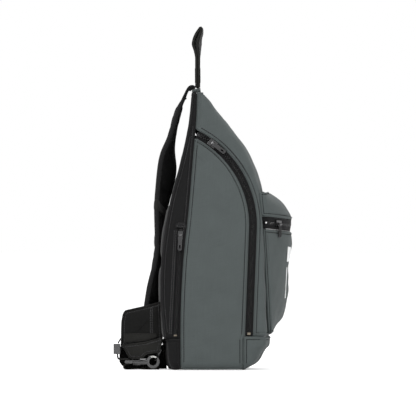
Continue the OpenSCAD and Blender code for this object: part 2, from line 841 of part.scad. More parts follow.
// Webbing tab on the lower back, with a tunnel for the ring's bar
module ring_tab() {
    color(webbing_black) across_strap(ring_tab_w, ring_y) difference() {
        union() {
            translate(ring_top) circle(4);
            polygon([[ring_top.x - 4, ring_top.y], [ring_top.x + 4, ring_top.y], [-55.6, 44], [-58.4, 44]]);
        }
        translate(ring_top) circle(ring_wire + 0.4);
    }
}

// D-shaped ring of wire: a straight bar through the tab, and a bow that leans back from it
module d_ring() {
    color(gunmetal) translate([ring_top.x, ring_y, ring_top.y])
        rotate([0, ring_lean, 0]) rotate([180, 0, 90]) {
        translate([-ring_half, 0, 0]) rotate([0, 90, 0]) cylinder(h = 2 * ring_half, r = ring_wire);
        for (side = [-1, 1]) translate([side * ring_half, 0, 0]) {
            sphere(ring_wire);
            cylinder(h = ring_drop, r = ring_wire);
        }
        translate([0, 0, ring_drop]) rotate([90, 0, 0]) rotate_extrude(angle = 180)
            translate([ring_half, 0]) circle(ring_wire);
    }
}

side_panel_near();
side_panel_far();
front_panel();
lower_front_panel();
base_panel();
back_gusset_near();
back_gusset_far();
back_panel();
lower_back_band();
back_piping();
top_cap();
strap_anchor();
back_foam();
base_board();
main_lining();
back_pocket_lining();
pocket_lining();
pocket_upper_panel();
pocket_lower_panel();
front_patch();
main_zip_tapes();
main_zip_coils();
main_zip_stops();
back_zip_tapes();
back_zip_coils();
back_zip_stops();
back_zip_garage();
pocket_zip_tapes();
pocket_zip_coils();
pocket_zip_stops();
ring_tab();
d_ring();
main_slider();
main_pull();
back_slider();
back_pull();
pocket_slider();
pocket_pull();
haul_loop();
strap_cover();
strap_foam();
strap_wing();
strap_flap();
strap_webbing();
adjuster();
hook_base();
hook_body();
hook_gate();
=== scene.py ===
"""The looks of the sling bag: fabric panels, zips, strap, webbing and metal parts round the CAD frame."""

import json
import math

import bmesh
import bpy
import numpy as np
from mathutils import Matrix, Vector
from mathutils.bvhtree import BVHTree
from mathutils.kdtree import KDTree


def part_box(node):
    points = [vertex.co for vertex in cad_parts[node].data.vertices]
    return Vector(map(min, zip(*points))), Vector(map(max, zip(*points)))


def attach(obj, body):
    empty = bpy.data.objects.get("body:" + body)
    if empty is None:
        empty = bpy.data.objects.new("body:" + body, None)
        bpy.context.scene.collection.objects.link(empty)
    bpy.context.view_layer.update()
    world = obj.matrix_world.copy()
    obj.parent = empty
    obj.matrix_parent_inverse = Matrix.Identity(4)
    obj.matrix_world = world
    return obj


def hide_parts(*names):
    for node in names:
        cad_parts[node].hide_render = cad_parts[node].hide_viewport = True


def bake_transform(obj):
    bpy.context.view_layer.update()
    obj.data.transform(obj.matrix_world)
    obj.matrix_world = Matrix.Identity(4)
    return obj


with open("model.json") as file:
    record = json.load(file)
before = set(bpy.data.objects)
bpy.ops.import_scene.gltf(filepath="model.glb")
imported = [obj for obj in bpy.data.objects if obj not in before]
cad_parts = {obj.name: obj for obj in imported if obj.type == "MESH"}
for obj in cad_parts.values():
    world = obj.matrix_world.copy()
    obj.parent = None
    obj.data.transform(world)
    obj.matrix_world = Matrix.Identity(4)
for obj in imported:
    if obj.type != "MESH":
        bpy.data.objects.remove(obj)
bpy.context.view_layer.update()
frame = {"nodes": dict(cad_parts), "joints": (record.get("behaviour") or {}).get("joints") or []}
MM = 0.001
X_AXIS, Y_AXIS, Z_AXIS = np.eye(3)

JOINTS = {j["name"]: j for j in frame["joints"]}

# ---------------------------------------------------------------- sizes, in metres, from the frame
BASE_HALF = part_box("lower_front_panel")[1].y
BOOT_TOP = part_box("lower_front_panel")[1].z
TOP_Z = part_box("top_cap")[1].z
SIDE_OUT = np.array(JOINTS["main_slider_run"]["axis"])
LEAN = math.asin(SIDE_OUT[2])
SIDE_UP = np.array([0.0, math.sin(LEAN), math.cos(LEAN)])
ZIP_MID = np.array(JOINTS["main_slider_run"]["pos_m"])
ZIP_R = 0.148
ZIP_GAP = 0.011
ZIP_LEAN = math.radians(2.2)
ZIP_RUN = 0.152
ZIP_TOP = math.radians(62)
POCKET_MID = np.array(JOINTS["pocket_slider_run"]["pos_m"])
POCKET_UP = np.array(JOINTS["pocket_slider_run"]["axis"])
POCKET_OUT = np.array([POCKET_UP[2], 0.0, -POCKET_UP[0]])
POCKET_R = 0.091
POCKET_GAP = 0.017
BOOT_X = 0.056
CORNER_R = 0.016
CROWN = 0.007
STITCH_IN = 0.0046

# Outlines in the X-Z plane, from the top down, in millimetres
FRONT_LINE = [(-4, 395), (27, 357), (60, 313), (79, 271), (84.5, 248), (88, 206), (91, 150), (94.5, 48)]
BOOT_LINE = [(94.5, 48), (87, 29), (76, 11), (58, 0)]
SEAM_LINE = [(-9, 392), (-10, 355), (-14, 310), (-21, 226), (-28.5, 153), (-32, 80), (-32, 0)]
REAR_LINE = [(-16, 392), (-20, 350), (-32, 293), (-48, 231), (-58, 165), (-60, 100), (-55, 45)]
BAND_LINE = [(-55, 45), (-53, 18), (-45, 0)]
BACK_ZIP = np.array([(-32, 199), (-39.5, 47)]) * MM
BACK_ZIP_GAP = 0.008


# ---------------------------------------------------------------- curves and meshes
def smooth_line(points, steps=12):
    """A Catmull-Rom curve through the points, which are rows of any length."""
    p = np.array(points, float)
    p = np.vstack([2 * p[0] - p[1], p, 2 * p[-1] - p[-2]])
    rows = []
    for i in range(1, len(p) - 2):
        a, b, c, d = p[i - 1], p[i], p[i + 1], p[i + 2]
        for t in np.arange(steps) / steps:
            cubic = (3 * b - a - 3 * c + d) * t**3 + (2 * a - 5 * b + 4 * c - d) * t * t
            rows.append((2 * b + (c - a) * t + cubic) / 2)
    rows.append(p[-2])
    return np.array(rows)


def line_x(points):
    """The X of an outline as a function of Z, both in metres."""
    dense = smooth_line(points) * MM
    order = np.argsort(dense[:, 1])
    xs, zs = dense[order, 0], dense[order, 1]
    return lambda z: np.interp(z, zs, xs)


front_x = line_x(FRONT_LINE[:-1] + BOOT_LINE)
seam_x = line_x(SEAM_LINE)
rear_x = line_x(REAR_LINE + BAND_LINE[1:])


def back_zip_x(z):
    """X of the middle of the back zip at the height z."""
    return np.interp(z, BACK_ZIP[::-1, 1], BACK_ZIP[::-1, 0])


def boot_seam(z):
    """X of the upright seam at the back of the boot."""
    return np.asarray(z) * 0 + BOOT_X


def half(z):
    """Half the body's width at the height z."""
    return BASE_HALF - np.asarray(z) * math.tan(LEAN)


def tuck(z, r=0.012):
    """How far the sides pull in where they turn under the base."""
    low = np.clip(r - np.asarray(z), 0, r)
    return r - np.sqrt(r * r - low * low)


def zip_x(z, r):
    """X of the main zip's curve of radius r at the height z."""
    v = (np.asarray(z) - ZIP_MID[2]) / math.cos(LEAN)
    turn = -r * math.sin(ZIP_LEAN)
    arc = np.sqrt(np.clip(r * r - v * v, 0, None))
    run = r * math.cos(ZIP_LEAN) - (turn - v) * math.tan(ZIP_LEAN)
    return ZIP_MID[0] + np.where(v > turn, arc, run)


def eased(n, ends=(True, True)):
    """n + 1 shares from 0 to 1, closer together at the chosen ends."""
    s = np.linspace(0, 1, n + 1)
    if all(ends):
        return 0.5 - 0.5 * np.cos(math.pi * s)
    if ends[0]:
        return 1 - np.cos(math.pi / 2 * s)
    return np.sin(math.pi / 2 * s)


def unit(v):
    return v / np.maximum(np.linalg.norm(v, axis=-1, keepdims=True), 1e-12)


def lengths(path):
    """The distance of each point of a path from its start, along it."""
    return np.concatenate([[0], np.cumsum(np.linalg.norm(np.diff(path, axis=0), axis=1))])


def interp_rows(s, run, rows):
    """Rows of numbers given at the distances run, read off at the distances s."""
    return np.stack([np.interp(s, run, column) for column in np.asarray(rows).T], -1)


def grid_normals(g):
    return unit(np.cross(np.gradient(g, axis=1), np.gradient(g, axis=0)))


def ripples(p, size, seed, count=14):
    """Smooth bumps between -1 and 1 with about the given size, the same in each run."""
    r = np.random.default_rng(seed)
    out = np.zeros(p.shape[:-1])
    for _ in range(count):
        k = unit(r.normal(size=3)) * 2 * math.pi / (size * r.uniform(0.7, 1.8))
        out += np.sin(p @ k + r.uniform(0, 6.28))
    return out / math.sqrt(count)


def arc_lengths(g, axis):
    step = np.linalg.norm(np.diff(g, axis=axis), axis=-1)
    pad = [(0, 0), (0, 0)]
    pad[axis] = (1, 0)
    return np.cumsum(np.pad(step, pad), axis=axis)


def set_cloth(mesh, cloth):
    """Distances along the two sets of threads in millimetres, which the weaves follow."""
    layer = mesh.attributes.new("cloth", "FLOAT_VECTOR", "POINT")
    layer.data.foreach_set("vector", np.asarray(cloth, np.float32).ravel())


def linked(name, data):
    obj = bpy.data.objects.new(name, data)
    bpy.context.scene.collection.objects.link(obj)
    return obj


def new_object(name, verts, faces, cloth=None):
    mesh = bpy.data.meshes.new(name)
    mesh.from_pydata([tuple(v) for v in verts], [], faces)
    mesh.validate()
    if cloth is not None and len(cloth) == len(mesh.vertices):
        set_cloth(mesh, cloth)
    bm = bmesh.new()
    bm.from_mesh(mesh)
    bmesh.ops.recalc_face_normals(bm, faces=bm.faces)
    bm.to_mesh(mesh)
    bm.free()
    mesh.polygons.foreach_set("use_smooth", [True] * len(mesh.polygons))
    return linked(name, mesh)


def finish_piece(obj, material, body, slot, *nodes):
    obj.data.materials.clear()
    obj.data.materials.append(material)
    if body:
        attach(obj, body)
    if nodes:
        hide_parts(*nodes)
    return obj


def sheet_faces(n, m, offset=0, flip=False, keep=None):
    faces = []
    for i in range(n - 1):
        for k in range(m - 1):
            if keep is not None and not keep[i, k]:
                continue
            a, b = offset + i * m + k, offset + (i + 1) * m + k
            q = [a, a + 1, b + 1, b]
            faces.append(q[::-1] if flip else q)
    return faces


def ring_faces(a, b, count):
    """Faces between two rings of points whose first points are a and b."""
    return [[a + k, a + (k + 1) % count, b + (k + 1) % count, b + k] for k in range(count)]


def rim_faces(n, m, keep):
    """Faces that close the edge between the outer and the inner sheet."""
    count = {}
    for f in sheet_faces(n, m, keep=keep):
        for a, b in zip(f, f[1:] + f[:1]):
            count[(a, b)] = count.get((a, b), 0) + 1
    return [(a, b, b + n * m, a + n * m) for (a, b) in count if (b, a) not in count]


def seam_relief(g, u, v, seams, dip, fold, seed):
    """Height of the cloth beside its sewn edges, and how far each point is from them."""
    sides = {"l": u, "r": u[:, -1:] - u, "t": v, "b": v[-1:, :] - v}
    near = np.full(u.shape, 1.0)
    for side in seams:
        near = np.minimum(near, sides[side])
    pucker = 0.5 + 0.5 * np.sin((u + v) * 2 * math.pi / 0.0085 + 2 * ripples(g, 0.03, seed + 5))
    move = -dip * np.exp(-((near / 0.0014) ** 2))
    move += fold * np.exp(-(((near - 0.0030) / 0.0012) ** 2))
    move -= 0.0010 * np.exp(-(((near - 0.0047) / 0.0009) ** 2)) * (0.6 + 0.4 * pucker)
    move += 0.00035 * pucker * np.exp(-near / 0.006)
    return move, near


def panel(name, g, out, seams="lrtb", pillow=0.0, thick=0.0018, dip=0.0022, fold=0.0008, keep=None, seed=1,
          wrinkle=0.0005):
    """A sewn panel over the grid g. The edges in seams (left, right, top, bottom) turn in to a seam."""
    normal = grid_normals(g)
    if np.mean(np.sum(normal * out, axis=-1)) < 0:
        normal = -normal
    u, v = arc_lengths(g, 1), arc_lengths(g, 0)
    move, near = seam_relief(g, u, v, seams, dip, fold, seed)
    span = np.sin(math.pi * u / np.maximum(u[:, -1:], 1e-6))
    span = span * np.sin(math.pi * v / np.maximum(v[-1:, :], 1e-6))
    move += pillow * np.clip(span, 0, 1) ** 0.7
    soft = np.clip(near / 0.02, 0, 1)
    move += wrinkle * soft * (ripples(g, 0.07, seed) + 0.5 * ripples(g, 0.025, seed + 1))
    outer = g + normal * move[..., None]
    inner = outer - normal * thick
    n, m = u.shape
    if keep is None:
        keep = np.ones((n - 1, m - 1), bool)
    faces = sheet_faces(n, m, keep=keep) + sheet_faces(n, m, n * m, True, keep) + rim_faces(n, m, keep)
    verts = np.vstack([outer.reshape(-1, 3), inner.reshape(-1, 3)])
    cloth = np.stack([u, v, np.zeros(u.shape)], -1).reshape(-1, 3) * 1000
    used = sorted({i for f in faces for i in f})
    place = {old: new for new, old in enumerate(used)}
    faces = [[place[i] for i in f] for f in faces]
    return new_object(name, verts[used], faces, np.vstack([cloth, cloth])[used])


def sweep(name, path, across, normal, section):
    """A closed cross-section (one for all points, or one for each) carried along a path."""
    path = np.asarray(path, float)
    across, normal = (np.broadcast_to(a, path.shape) for a in (across, normal))
    n = len(path)
    sec = np.asarray(section, float)
    if sec.ndim == 2:
        sec = np.repeat(sec[None], n, 0)
    m = sec.shape[1]
    verts = path[:, None] + across[:, None] * sec[..., :1] + normal[:, None] * sec[..., 1:2]
    faces = []
    for i in range(n - 1):
        faces += ring_faces(i * m, (i + 1) * m, m)
    faces += [list(range(m))[::-1], [(n - 1) * m + k for k in range(m)]]
    run = np.repeat(lengths(path)[:, None], m, 1)
    cloth = np.stack([run, sec[..., 0], np.zeros((n, m))], -1)
    return new_object(name, verts.reshape(-1, 3), faces, cloth.reshape(-1, 3) * 1000)


def flat_section(w, t, round_steps=3):
    """A flat strip's cross-section with rounded edges, as (across, out) pairs."""
    r = t / 2
    pts = []
    for side in (1, -1):
        for a in np.linspace(-90, 90, round_steps + 2):
            c, s = math.cos(math.radians(a)), math.sin(math.radians(a))
            pts.append((side * (w / 2 - r + r * c), side * r * s))
        for f in (0.5, 0.2, -0.2, -0.5):
            pts.append((side * f * w, side * r))
    return np.array(pts)


def round_section(r, n=10):
    a = np.arange(n) * 2 * math.pi / n
    return np.stack([np.cos(a), np.sin(a)], -1) * r


def tangents(path):
    return unit(np.gradient(np.asarray(path, float), axis=0))


def merged(name, parts):
    """One object from (verts, faces) parts."""
    verts, faces, start = [], [], 0
    for v, f in parts:
        verts.append(v)
        faces += [[i + start for i in q] for q in f]
        start += len(v)
    return new_object(name, np.vstack(verts), faces)


CAPSULE_RINGS = [(-0.5, 0.0), (-0.44, 0.62), (-0.25, 1.0), (0.25, 1.0), (0.44, 0.62), (0.5, 0.0)]


def capsule(mid, along, across, out, length, width, height, sides=6):
    """Points and faces of a short rounded rod, such as one stitch."""
    rows = []
    for x, r in CAPSULE_RINGS:
        for k in range(sides):
            a = 2 * math.pi * k / sides
            round_it = across * math.cos(a) * width + out * math.sin(a) * height
            rows.append(mid + along * x * length + round_it * r / 2)
    faces = []
    for i in range(len(CAPSULE_RINGS) - 1):
        faces += ring_faces(i * sides, (i + 1) * sides, sides)
    return np.array(rows), faces


def resample(path, step):
    """Points a step apart on a path, their distances along it and those of the path's own points."""
    run = lengths(path)
    s = np.arange(step / 2, run[-1], step)
    return interp_rows(s, run, path), s, run


def stitches(name, lines, body, slot, material, pitch=0.0034, length=0.0031, width=0.00125):
    """Runs of thread over the fabric. Each line is (points, outward normals)."""
    parts = []
    for points, normals in lines:
        mids, s, run = resample(points, pitch)
        outs = interp_rows(s, run, normals)
        for mid, t, n in zip(mids, tangents(mids), unit(outs)):
            side = np.cross(t, n)
            parts.append(capsule(mid + n * 0.0001, t, side, n, length, width, width * 0.8))
    return finish_piece(merged(name, parts), material, body, slot)


# ---------------------------------------------------------------- materials
def put(node, values):
    """Sets the constants of a node's inputs."""
    for key, value in values.items():
        node.inputs[key].default_value = value


def tree_of(name, color, rough, metal=0.0):
    mat = bpy.data.materials.new(name)
    mat.use_nodes = True
    tree = mat.node_tree
    shader = tree.nodes["Principled BSDF"]
    put(shader, {"Base Color": (*color, 1), "Roughness": rough, "Metallic": metal})
    return mat, tree, shader


def add(tree, kind, **settings):
    node = tree.nodes.new(kind)
    for key, value in settings.items():
        setattr(node, key, value)
    return node


def maths(tree, operation, a, b=0.0):
    node = add(tree, "ShaderNodeMath", operation=operation)
    for i, value in enumerate((a, b)):
        if isinstance(value, (int, float)):
            node.inputs[i].default_value = value
        else:
            tree.links.new(value, node.inputs[i])
    return node.outputs[0]


def noise(tree, where, scale, detail=3.0, rough=0.55):
    node = add(tree, "ShaderNodeTexNoise")
    put(node, {"Scale": scale, "Detail": detail, "Roughness": rough})
    tree.links.new(where, node.inputs["Vector"])
    return node.outputs["Fac"]


def stretched(tree, where, scale):
    node = add(tree, "ShaderNodeVectorMath", operation="MULTIPLY")
    tree.links.new(where, node.inputs[0])
    node.inputs[1].default_value = scale
    return node.outputs[0]


def shade(tree, shader, color, fac, dark, light):
    """Colour between dark and light shares of the base colour, by fac."""
    ramp = add(tree, "ShaderNodeMapRange")
    put(ramp, {"From Min": 0.25, "From Max": 0.75, "To Min": dark, "To Max": light})
    tree.links.new(fac, ramp.inputs["Value"])
    scale = add(tree, "ShaderNodeVectorMath", operation="SCALE")
    scale.inputs[0].default_value = color
    tree.links.new(ramp.outputs[0], scale.inputs["Scale"])
    tree.links.new(scale.outputs[0], shader.inputs["Base Color"])


def bump(tree, shader, height, strength, distance):
    node = add(tree, "ShaderNodeBump")
    put(node, {"Strength": strength, "Distance": distance})
    tree.links.new(height, node.inputs["Height"])
    tree.links.new(node.outputs[0], shader.inputs["Normal"])


def roughness_from(tree, shader, fac, low, high):
    ramp = add(tree, "ShaderNodeMapRange")
    put(ramp, {"To Min": low, "To Max": high})
    tree.links.new(fac, ramp.inputs["Value"])
    tree.links.new(ramp.outputs[0], shader.inputs["Roughness"])


def weighted(tree, *terms):
    """The sum of some outputs, each times its own weight."""
    total = None
    for output, weight in terms:
        part = maths(tree, "MULTIPLY", output, weight)
        total = part if total is None else maths(tree, "ADD", total, part)
    return total


def woven(name, color, pitch=1.0, strength=0.35, rough=0.8, sheen=0.25, contrast=0.10, ribs=None):
    """Woven cloth: two sets of threads over the cloth coordinates, with streaks, mottling and fuzz."""
    mat, tree, shader = tree_of(name, color, rough)
    cloth = add(tree, "ShaderNodeAttribute", attribute_name="cloth").outputs["Vector"]
    parts = add(tree, "ShaderNodeSeparateXYZ")
    tree.links.new(cloth, parts.inputs[0])
    warp_k, weft_k = 2 * math.pi / pitch, 2 * math.pi / (ribs or pitch)
    warp = maths(tree, "SINE", maths(tree, "MULTIPLY", parts.outputs[0], warp_k))
    weft = maths(tree, "SINE", maths(tree, "MULTIPLY", parts.outputs[1], weft_k))
    if ribs:
        weave = maths(tree, "ADD", maths(tree, "MULTIPLY", warp, 0.45), weft)
    else:
        weave = maths(tree, "MULTIPLY", warp, weft)
    streak_u = noise(tree, stretched(tree, cloth, (0.03, 1.1, 1)), 1.0, 2.0)
    streak_v = noise(tree, stretched(tree, cloth, (1.1, 0.03, 1)), 1.0, 2.0)
    place = add(tree, "ShaderNodeTexCoord").outputs["Object"]
    mottle = noise(tree, place, 34.0, 4.0)
    fuzz = noise(tree, place, 900.0, 2.0)
    streaks = maths(tree, "ADD", streak_u, streak_v)
    tone = weighted(tree, (streaks, 0.25), (mottle, 0.3), (fuzz, 0.2), (weave, 0.05))
    shade(tree, shader, color, tone, 1 - contrast * 2, 1 + contrast * 2)
    bump(tree, shader, weighted(tree, (weave, 0.5), (fuzz, 0.8)), strength, 0.00035)
    roughness_from(tree, shader, mottle, rough - 0.06, min(rough + 0.08, 1))
    put(shader, {"Sheen Weight": sheen, "Sheen Roughness": 0.5, "Specular IOR Level": 0.18})
    return mat


def mesh_cloth(name, color, cell=2.6):
    """Spacer mesh: rows of small round holes over a soft base, with painted shade darkening the holes."""
    mat, tree, shader = tree_of(name, color, 0.85)
    cloth = add(tree, "ShaderNodeAttribute", attribute_name="cloth").outputs["Vector"]
    cells = add(tree, "ShaderNodeTexVoronoi")
    put(cells, {"Scale": 1 / cell, "Randomness": 0.15})
    tree.links.new(cloth, cells.inputs["Vector"])
    mottle = noise(tree, add(tree, "ShaderNodeTexCoord").outputs["Object"], 40.0, 3.0)
    # Painted shade: the colour is darkest in the holes, at the cells' middles, and lightest on the threads
    # between them.
    tone = maths(tree, "ADD", 0.75, maths(tree, "MULTIPLY", mottle, 0.3))
    tone = maths(tree, "SUBTRACT", 1.0, maths(tree, "SUBTRACT", tone, cells.outputs["Distance"]))
    shade(tree, shader, color, tone, 0.45, 1.6)
    bump(tree, shader, cells.outputs["Distance"], 0.7, 0.0008)
    shader.inputs["Sheen Weight"].default_value = 0.2
    return mat


def hard(name, color, rough, metal, grain=0.04, coat=0.0):
    """Metal, plastic, rubber or foam with faint marks in its colour, roughness and surface."""
    mat, tree, shader = tree_of(name, color, rough, metal)
    place = add(tree, "ShaderNodeTexCoord").outputs["Object"]
    fine = noise(tree, place, 420.0, 3.0)
    broad = noise(tree, place, 60.0, 3.0)
    shade(tree, shader, color, broad, 0.85, 1.25)
    roughness_from(tree, shader, fine, max(rough - 0.08, 0.05), rough + 0.12)
    bump(tree, shader, fine, grain, 0.0003)
    shader.inputs["Coat Weight"].default_value = coat
    return mat


GREY = (0.0675, 0.0790, 0.0785)
shell = woven("shell_cloth", GREY, 1.1, 0.32, 0.82, 0.08, 0.09)
gusset = woven("gusset_cloth", (0.0060, 0.0060, 0.0063), 1.1, 0.4, 0.85, 0.05, 0.2)
strap_cloth = woven("strap_cloth", (0.0028, 0.0028, 0.003), 1.3, 0.5, 0.88, 0.03, 0.2)
wing_cloth = woven("wing_cloth", (0.0042, 0.0042, 0.0039), 1.0, 0.4, 0.82, 0.05, 0.18)
webbing = woven("webbing_cloth", (0.0105, 0.0104, 0.0092), 2.4, 0.6, 0.75, 0.1, 0.2, ribs=1.3)
tape = woven("zip_tape_cloth", (0.005, 0.005, 0.0055), 1.6, 0.5, 0.75, 0.05, 0.15, ribs=0.9)
binding = woven("binding_cloth", (0.007, 0.007, 0.0075), 1.2, 0.5, 0.75, 0.1, 0.15, ribs=1.0)
lining = woven("lining_cloth", (0.16, 0.165, 0.17), 0.8, 0.2, 0.6, 0.1, 0.05)
back_mesh = mesh_cloth("back_mesh_cloth", (0.0085, 0.0085, 0.009))
foam = hard("foam_fill", (0.2, 0.2, 0.2), 0.95, 0.0, 0.6)
coil = hard("zip_coil_plastic", (0.006, 0.006, 0.0065), 0.32, 0.0, 0.05, 0.2)
dark_stop = hard("dark_stop_metal", (0.03, 0.03, 0.03), 0.35, 0.8)
stop_metal = hard("zip_stop_metal", (0.22, 0.19, 0.15), 0.4, 0.9)
gunmetal = hard("gunmetal_plate", (0.10, 0.10, 0.102), 0.17, 1.0, 0.05, 0.6)
bright = hard("bright_plate", (0.62, 0.62, 0.6), 0.2, 1.0, 0.03)
pale = hard("pale_print_rubber", (0.78, 0.79, 0.79), 0.55, 0.0, 0.15)
thread = woven("dark_thread", (0.006, 0.007, 0.007), 0.8, 0.3, 0.7, 0.05, 0.1)
black_thread = woven("black_thread", (0.020, 0.020, 0.021), 0.8, 0.3, 0.6, 0.2, 0.1)


# ---------------------------------------------------------------- bag body
def side_point(x, z, n=0.0, far=False):
    """A point on the near or far side plane, n out of it, with the turn under the base."""
    x, z = np.broadcast_arrays(np.asarray(x, float), np.asarray(z, float))
    y = -(half(z) - tuck(z)) - n * math.cos(LEAN)
    p = np.stack([x, y, z + n * math.sin(LEAN)], -1)
    if far:
        p[..., 1] *= -1
    return p


def side_grid(left, right, z_low, z_high, rows, cols, far=False):
    """Rows of points from the line left to the line right, which are functions of Z, from the top down."""
    z = z_high + (z_low - z_high) * eased(rows)
    a, b = left(z), np.maximum(right(z), left(z) + 0.0003)
    share = eased(cols)
    x = a[:, None] + (b - a)[:, None] * share[None]
    return side_point(x, z[:, None], 0.0, far)


def inner_edge(r):
    """The front edge of a side panel: the zip's curve of radius r, and the boot's seam below it."""
    step = zip_x(BOOT_TOP, r) - BOOT_X

    def x_of(z):
        share = np.clip((z - BOOT_TOP + 0.004) / 0.004, 0, 1)
        return np.where(z > BOOT_TOP, zip_x(z, r), BOOT_X + step * share)

    return x_of


def seam_cross(r):
    """The height where the main zip's curve of radius r meets the back seam."""
    z = np.linspace(0.25, 0.36, 400)
    return z[np.argmin(np.abs(zip_x(z, r) - seam_x(z)))]


NEAR_OUT = np.array([0.0, -1.0, 0.1])
FAR_OUT = np.array([0.0, 1.0, 0.1])
INNER_R, OUTER_R = ZIP_R - ZIP_GAP / 2, ZIP_R + ZIP_GAP / 2
CREASES = [((-9, 306), (3, 293), 1.6, 0.0011), ((-12, 296), (-2, 284), 1.4, -0.0006)]


def creased(g, out):
    """The grid with short folds pressed into it, each from one X-Z point in mm to another."""
    g = g.copy()
    for a, b, width, depth in CREASES:
        a, b = np.array(a) * MM, np.array(b) * MM
        q = g[..., [0, 2]] - a
        along = np.clip(q @ (b - a) / ((b - a) @ (b - a)), 0, 1)
        far = np.linalg.norm(q - along[..., None] * (b - a), axis=-1)
        rise = depth * np.exp(-((far / (width * MM)) ** 2)) * np.sin(math.pi * np.clip(along, 0.05, 0.95))
        g += unit(out) * rise[..., None]
    return g


def shell_piece(obj, node):
    return finish_piece(obj, shell, "bag", "shell_fabric", node)


def make_side_panels():
    pieces = []
    for side, r, out, seed in (("near", INNER_R, NEAR_OUT, 3), ("far", ZIP_R, FAR_OUT, 9)):
        g = side_grid(seam_x, inner_edge(r), 0.0008, seam_cross(r) - 0.002, 150, 60, side == "far")
        if side == "near":
            g = creased(g, out)
        name = "side_panel_" + side
        piece = panel(name + "_cloth", g, out, pillow=0.0035, seed=seed, wrinkle=0.0010)
        pieces.append(shell_piece(piece, name))
    return pieces


def wrap_row(z, x_near, x_far, x_of, r, cols, sign=1.0):
    """One level line round the front, or with sign -1 round the back, from the near side to the far side."""
    h = float(half(z) - tuck(z))
    tip = float(x_of(z)) - sign * float(tuck(z, 0.006))
    side, turn, face = cols
    tip = sign * max(sign * tip, sign * x_near + 0.004, sign * x_far + 0.004)
    room_near, room_far = abs(tip - x_near), abs(tip - x_far)
    crown = min(CROWN * min(1.0, abs(z - TOP_Z) / 0.1), 0.4 * min(room_near, room_far))
    rn, rf = min(r, 0.55 * room_near), min(r, 0.55 * room_far)

    def face_x(y):
        return tip - sign * crown * (abs(y) / h) ** 2.2

    pts = []
    for side_sign, x0, rr in ((-1, x_near, rn), (1, x_far, rf)):
        edge = face_x(h - rr) - sign * rr
        run = [(x0 + (edge - x0) * t, side_sign * h) for t in eased(side, (True, False))[:-1]]
        for a in np.linspace(0, 90, turn + 1)[:-1]:
            c, q = math.cos(math.radians(a)), math.sin(math.radians(a))
            run.append((edge + sign * rr * q, side_sign * (h - rr + rr * c)))
        if side_sign < 0:
            pts += run
            for t in np.linspace(-1, 1, face + 1):
                y = t * (h - min(rn, rf))
                pts.append((face_x(y), y))
        else:
            pts += run[::-1]
    return np.array([(x, y, z) for x, y in pts])


def wrap_grid(z_low, z_high, rows, near, far, x_of, r, cols, sign=1.0):
    z = z_high + (z_low - z_high) * eased(rows)
    return np.array([wrap_row(q, float(near(q)), float(far(q)), x_of, r, cols, sign) for q in z])


def make_front():
    def edge(r):
        return lambda z: max(zip_x(z, r), seam_x(z)) if z > 0.2 else zip_x(z, r)

    cols = (16, 8, 44)
    g = wrap_grid(BOOT_TOP, TOP_Z - 0.004, 150, edge(OUTER_R), edge(ZIP_R), front_x, CORNER_R, cols)
    front = panel("front_panel_cloth", g, np.array([1.0, 0, 0.3]), seed=13, wrinkle=0.0008)
    shell_piece(front, "front_panel")
    g = wrap_grid(0.0006, BOOT_TOP, 44, boot_seam, boot_seam, front_x, CORNER_R, cols)
    boot = panel("lower_front_cloth", g, X_AXIS, pillow=0.001, seed=17)
    return [front, shell_piece(boot, "lower_front_panel")]


def make_base():
    low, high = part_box("base_panel")
    x = low.x - 0.002 + (high.x - low.x + 0.004) * eased(40)
    y = (BASE_HALF - 0.009) * (2 * eased(60) - 1)
    gx, gy = np.meshgrid(x, y, indexing="ij")
    g = np.stack([gx, gy, np.full(gx.shape, 0.0016)], -1)
    shell_piece(panel("base_cloth", g, -Z_AXIS, fold=0.0002, seed=21, wrinkle=0.0003), "base_panel")


def make_gussets():
    z_low, z_high = BOOT_TOP - 0.003, TOP_Z - 0.006
    z = z_high + (z_low - z_high) * np.linspace(0, 1, 240)
    pieces = []
    for far, name in ((False, "back_gusset_near"), (True, "back_gusset_far")):
        a, b = rear_x(z) + 0.001, seam_x(z)
        mid = np.clip(back_zip_x(z), a + 0.4 * (b - a), b - 0.0055)
        lo = np.maximum(mid - BACK_ZIP_GAP / 2, a + 0.3 * (b - a))
        hi = np.minimum(mid + BACK_ZIP_GAP / 2, b - 0.0006)
        hi = np.maximum(hi, lo + 0.0005)
        cols = [a + (lo - a) * s for s in eased(18)] + [lo + (hi - lo) * s for s in (0.33, 0.66)]
        cols += [hi + (b - hi) * s for s in eased(8)]
        g = side_point(np.stack(cols, 1), z[:, None], 0.0, far)
        keep = np.ones((len(z) - 1, g.shape[1] - 1), bool)
        if not far:
            inside = (z[:-1] < BACK_ZIP[0, 1] + 0.002) & (z[1:] > BACK_ZIP[1, 1])
            keep[np.ix_(inside, np.arange(18, 21))] = False
        obj = panel(name + "_cloth", g, FAR_OUT if far else NEAR_OUT, keep=keep, seed=25, wrinkle=0.0003)
        pieces.append(finish_piece(obj, gusset, "bag", "gusset_fabric", name))
    return pieces


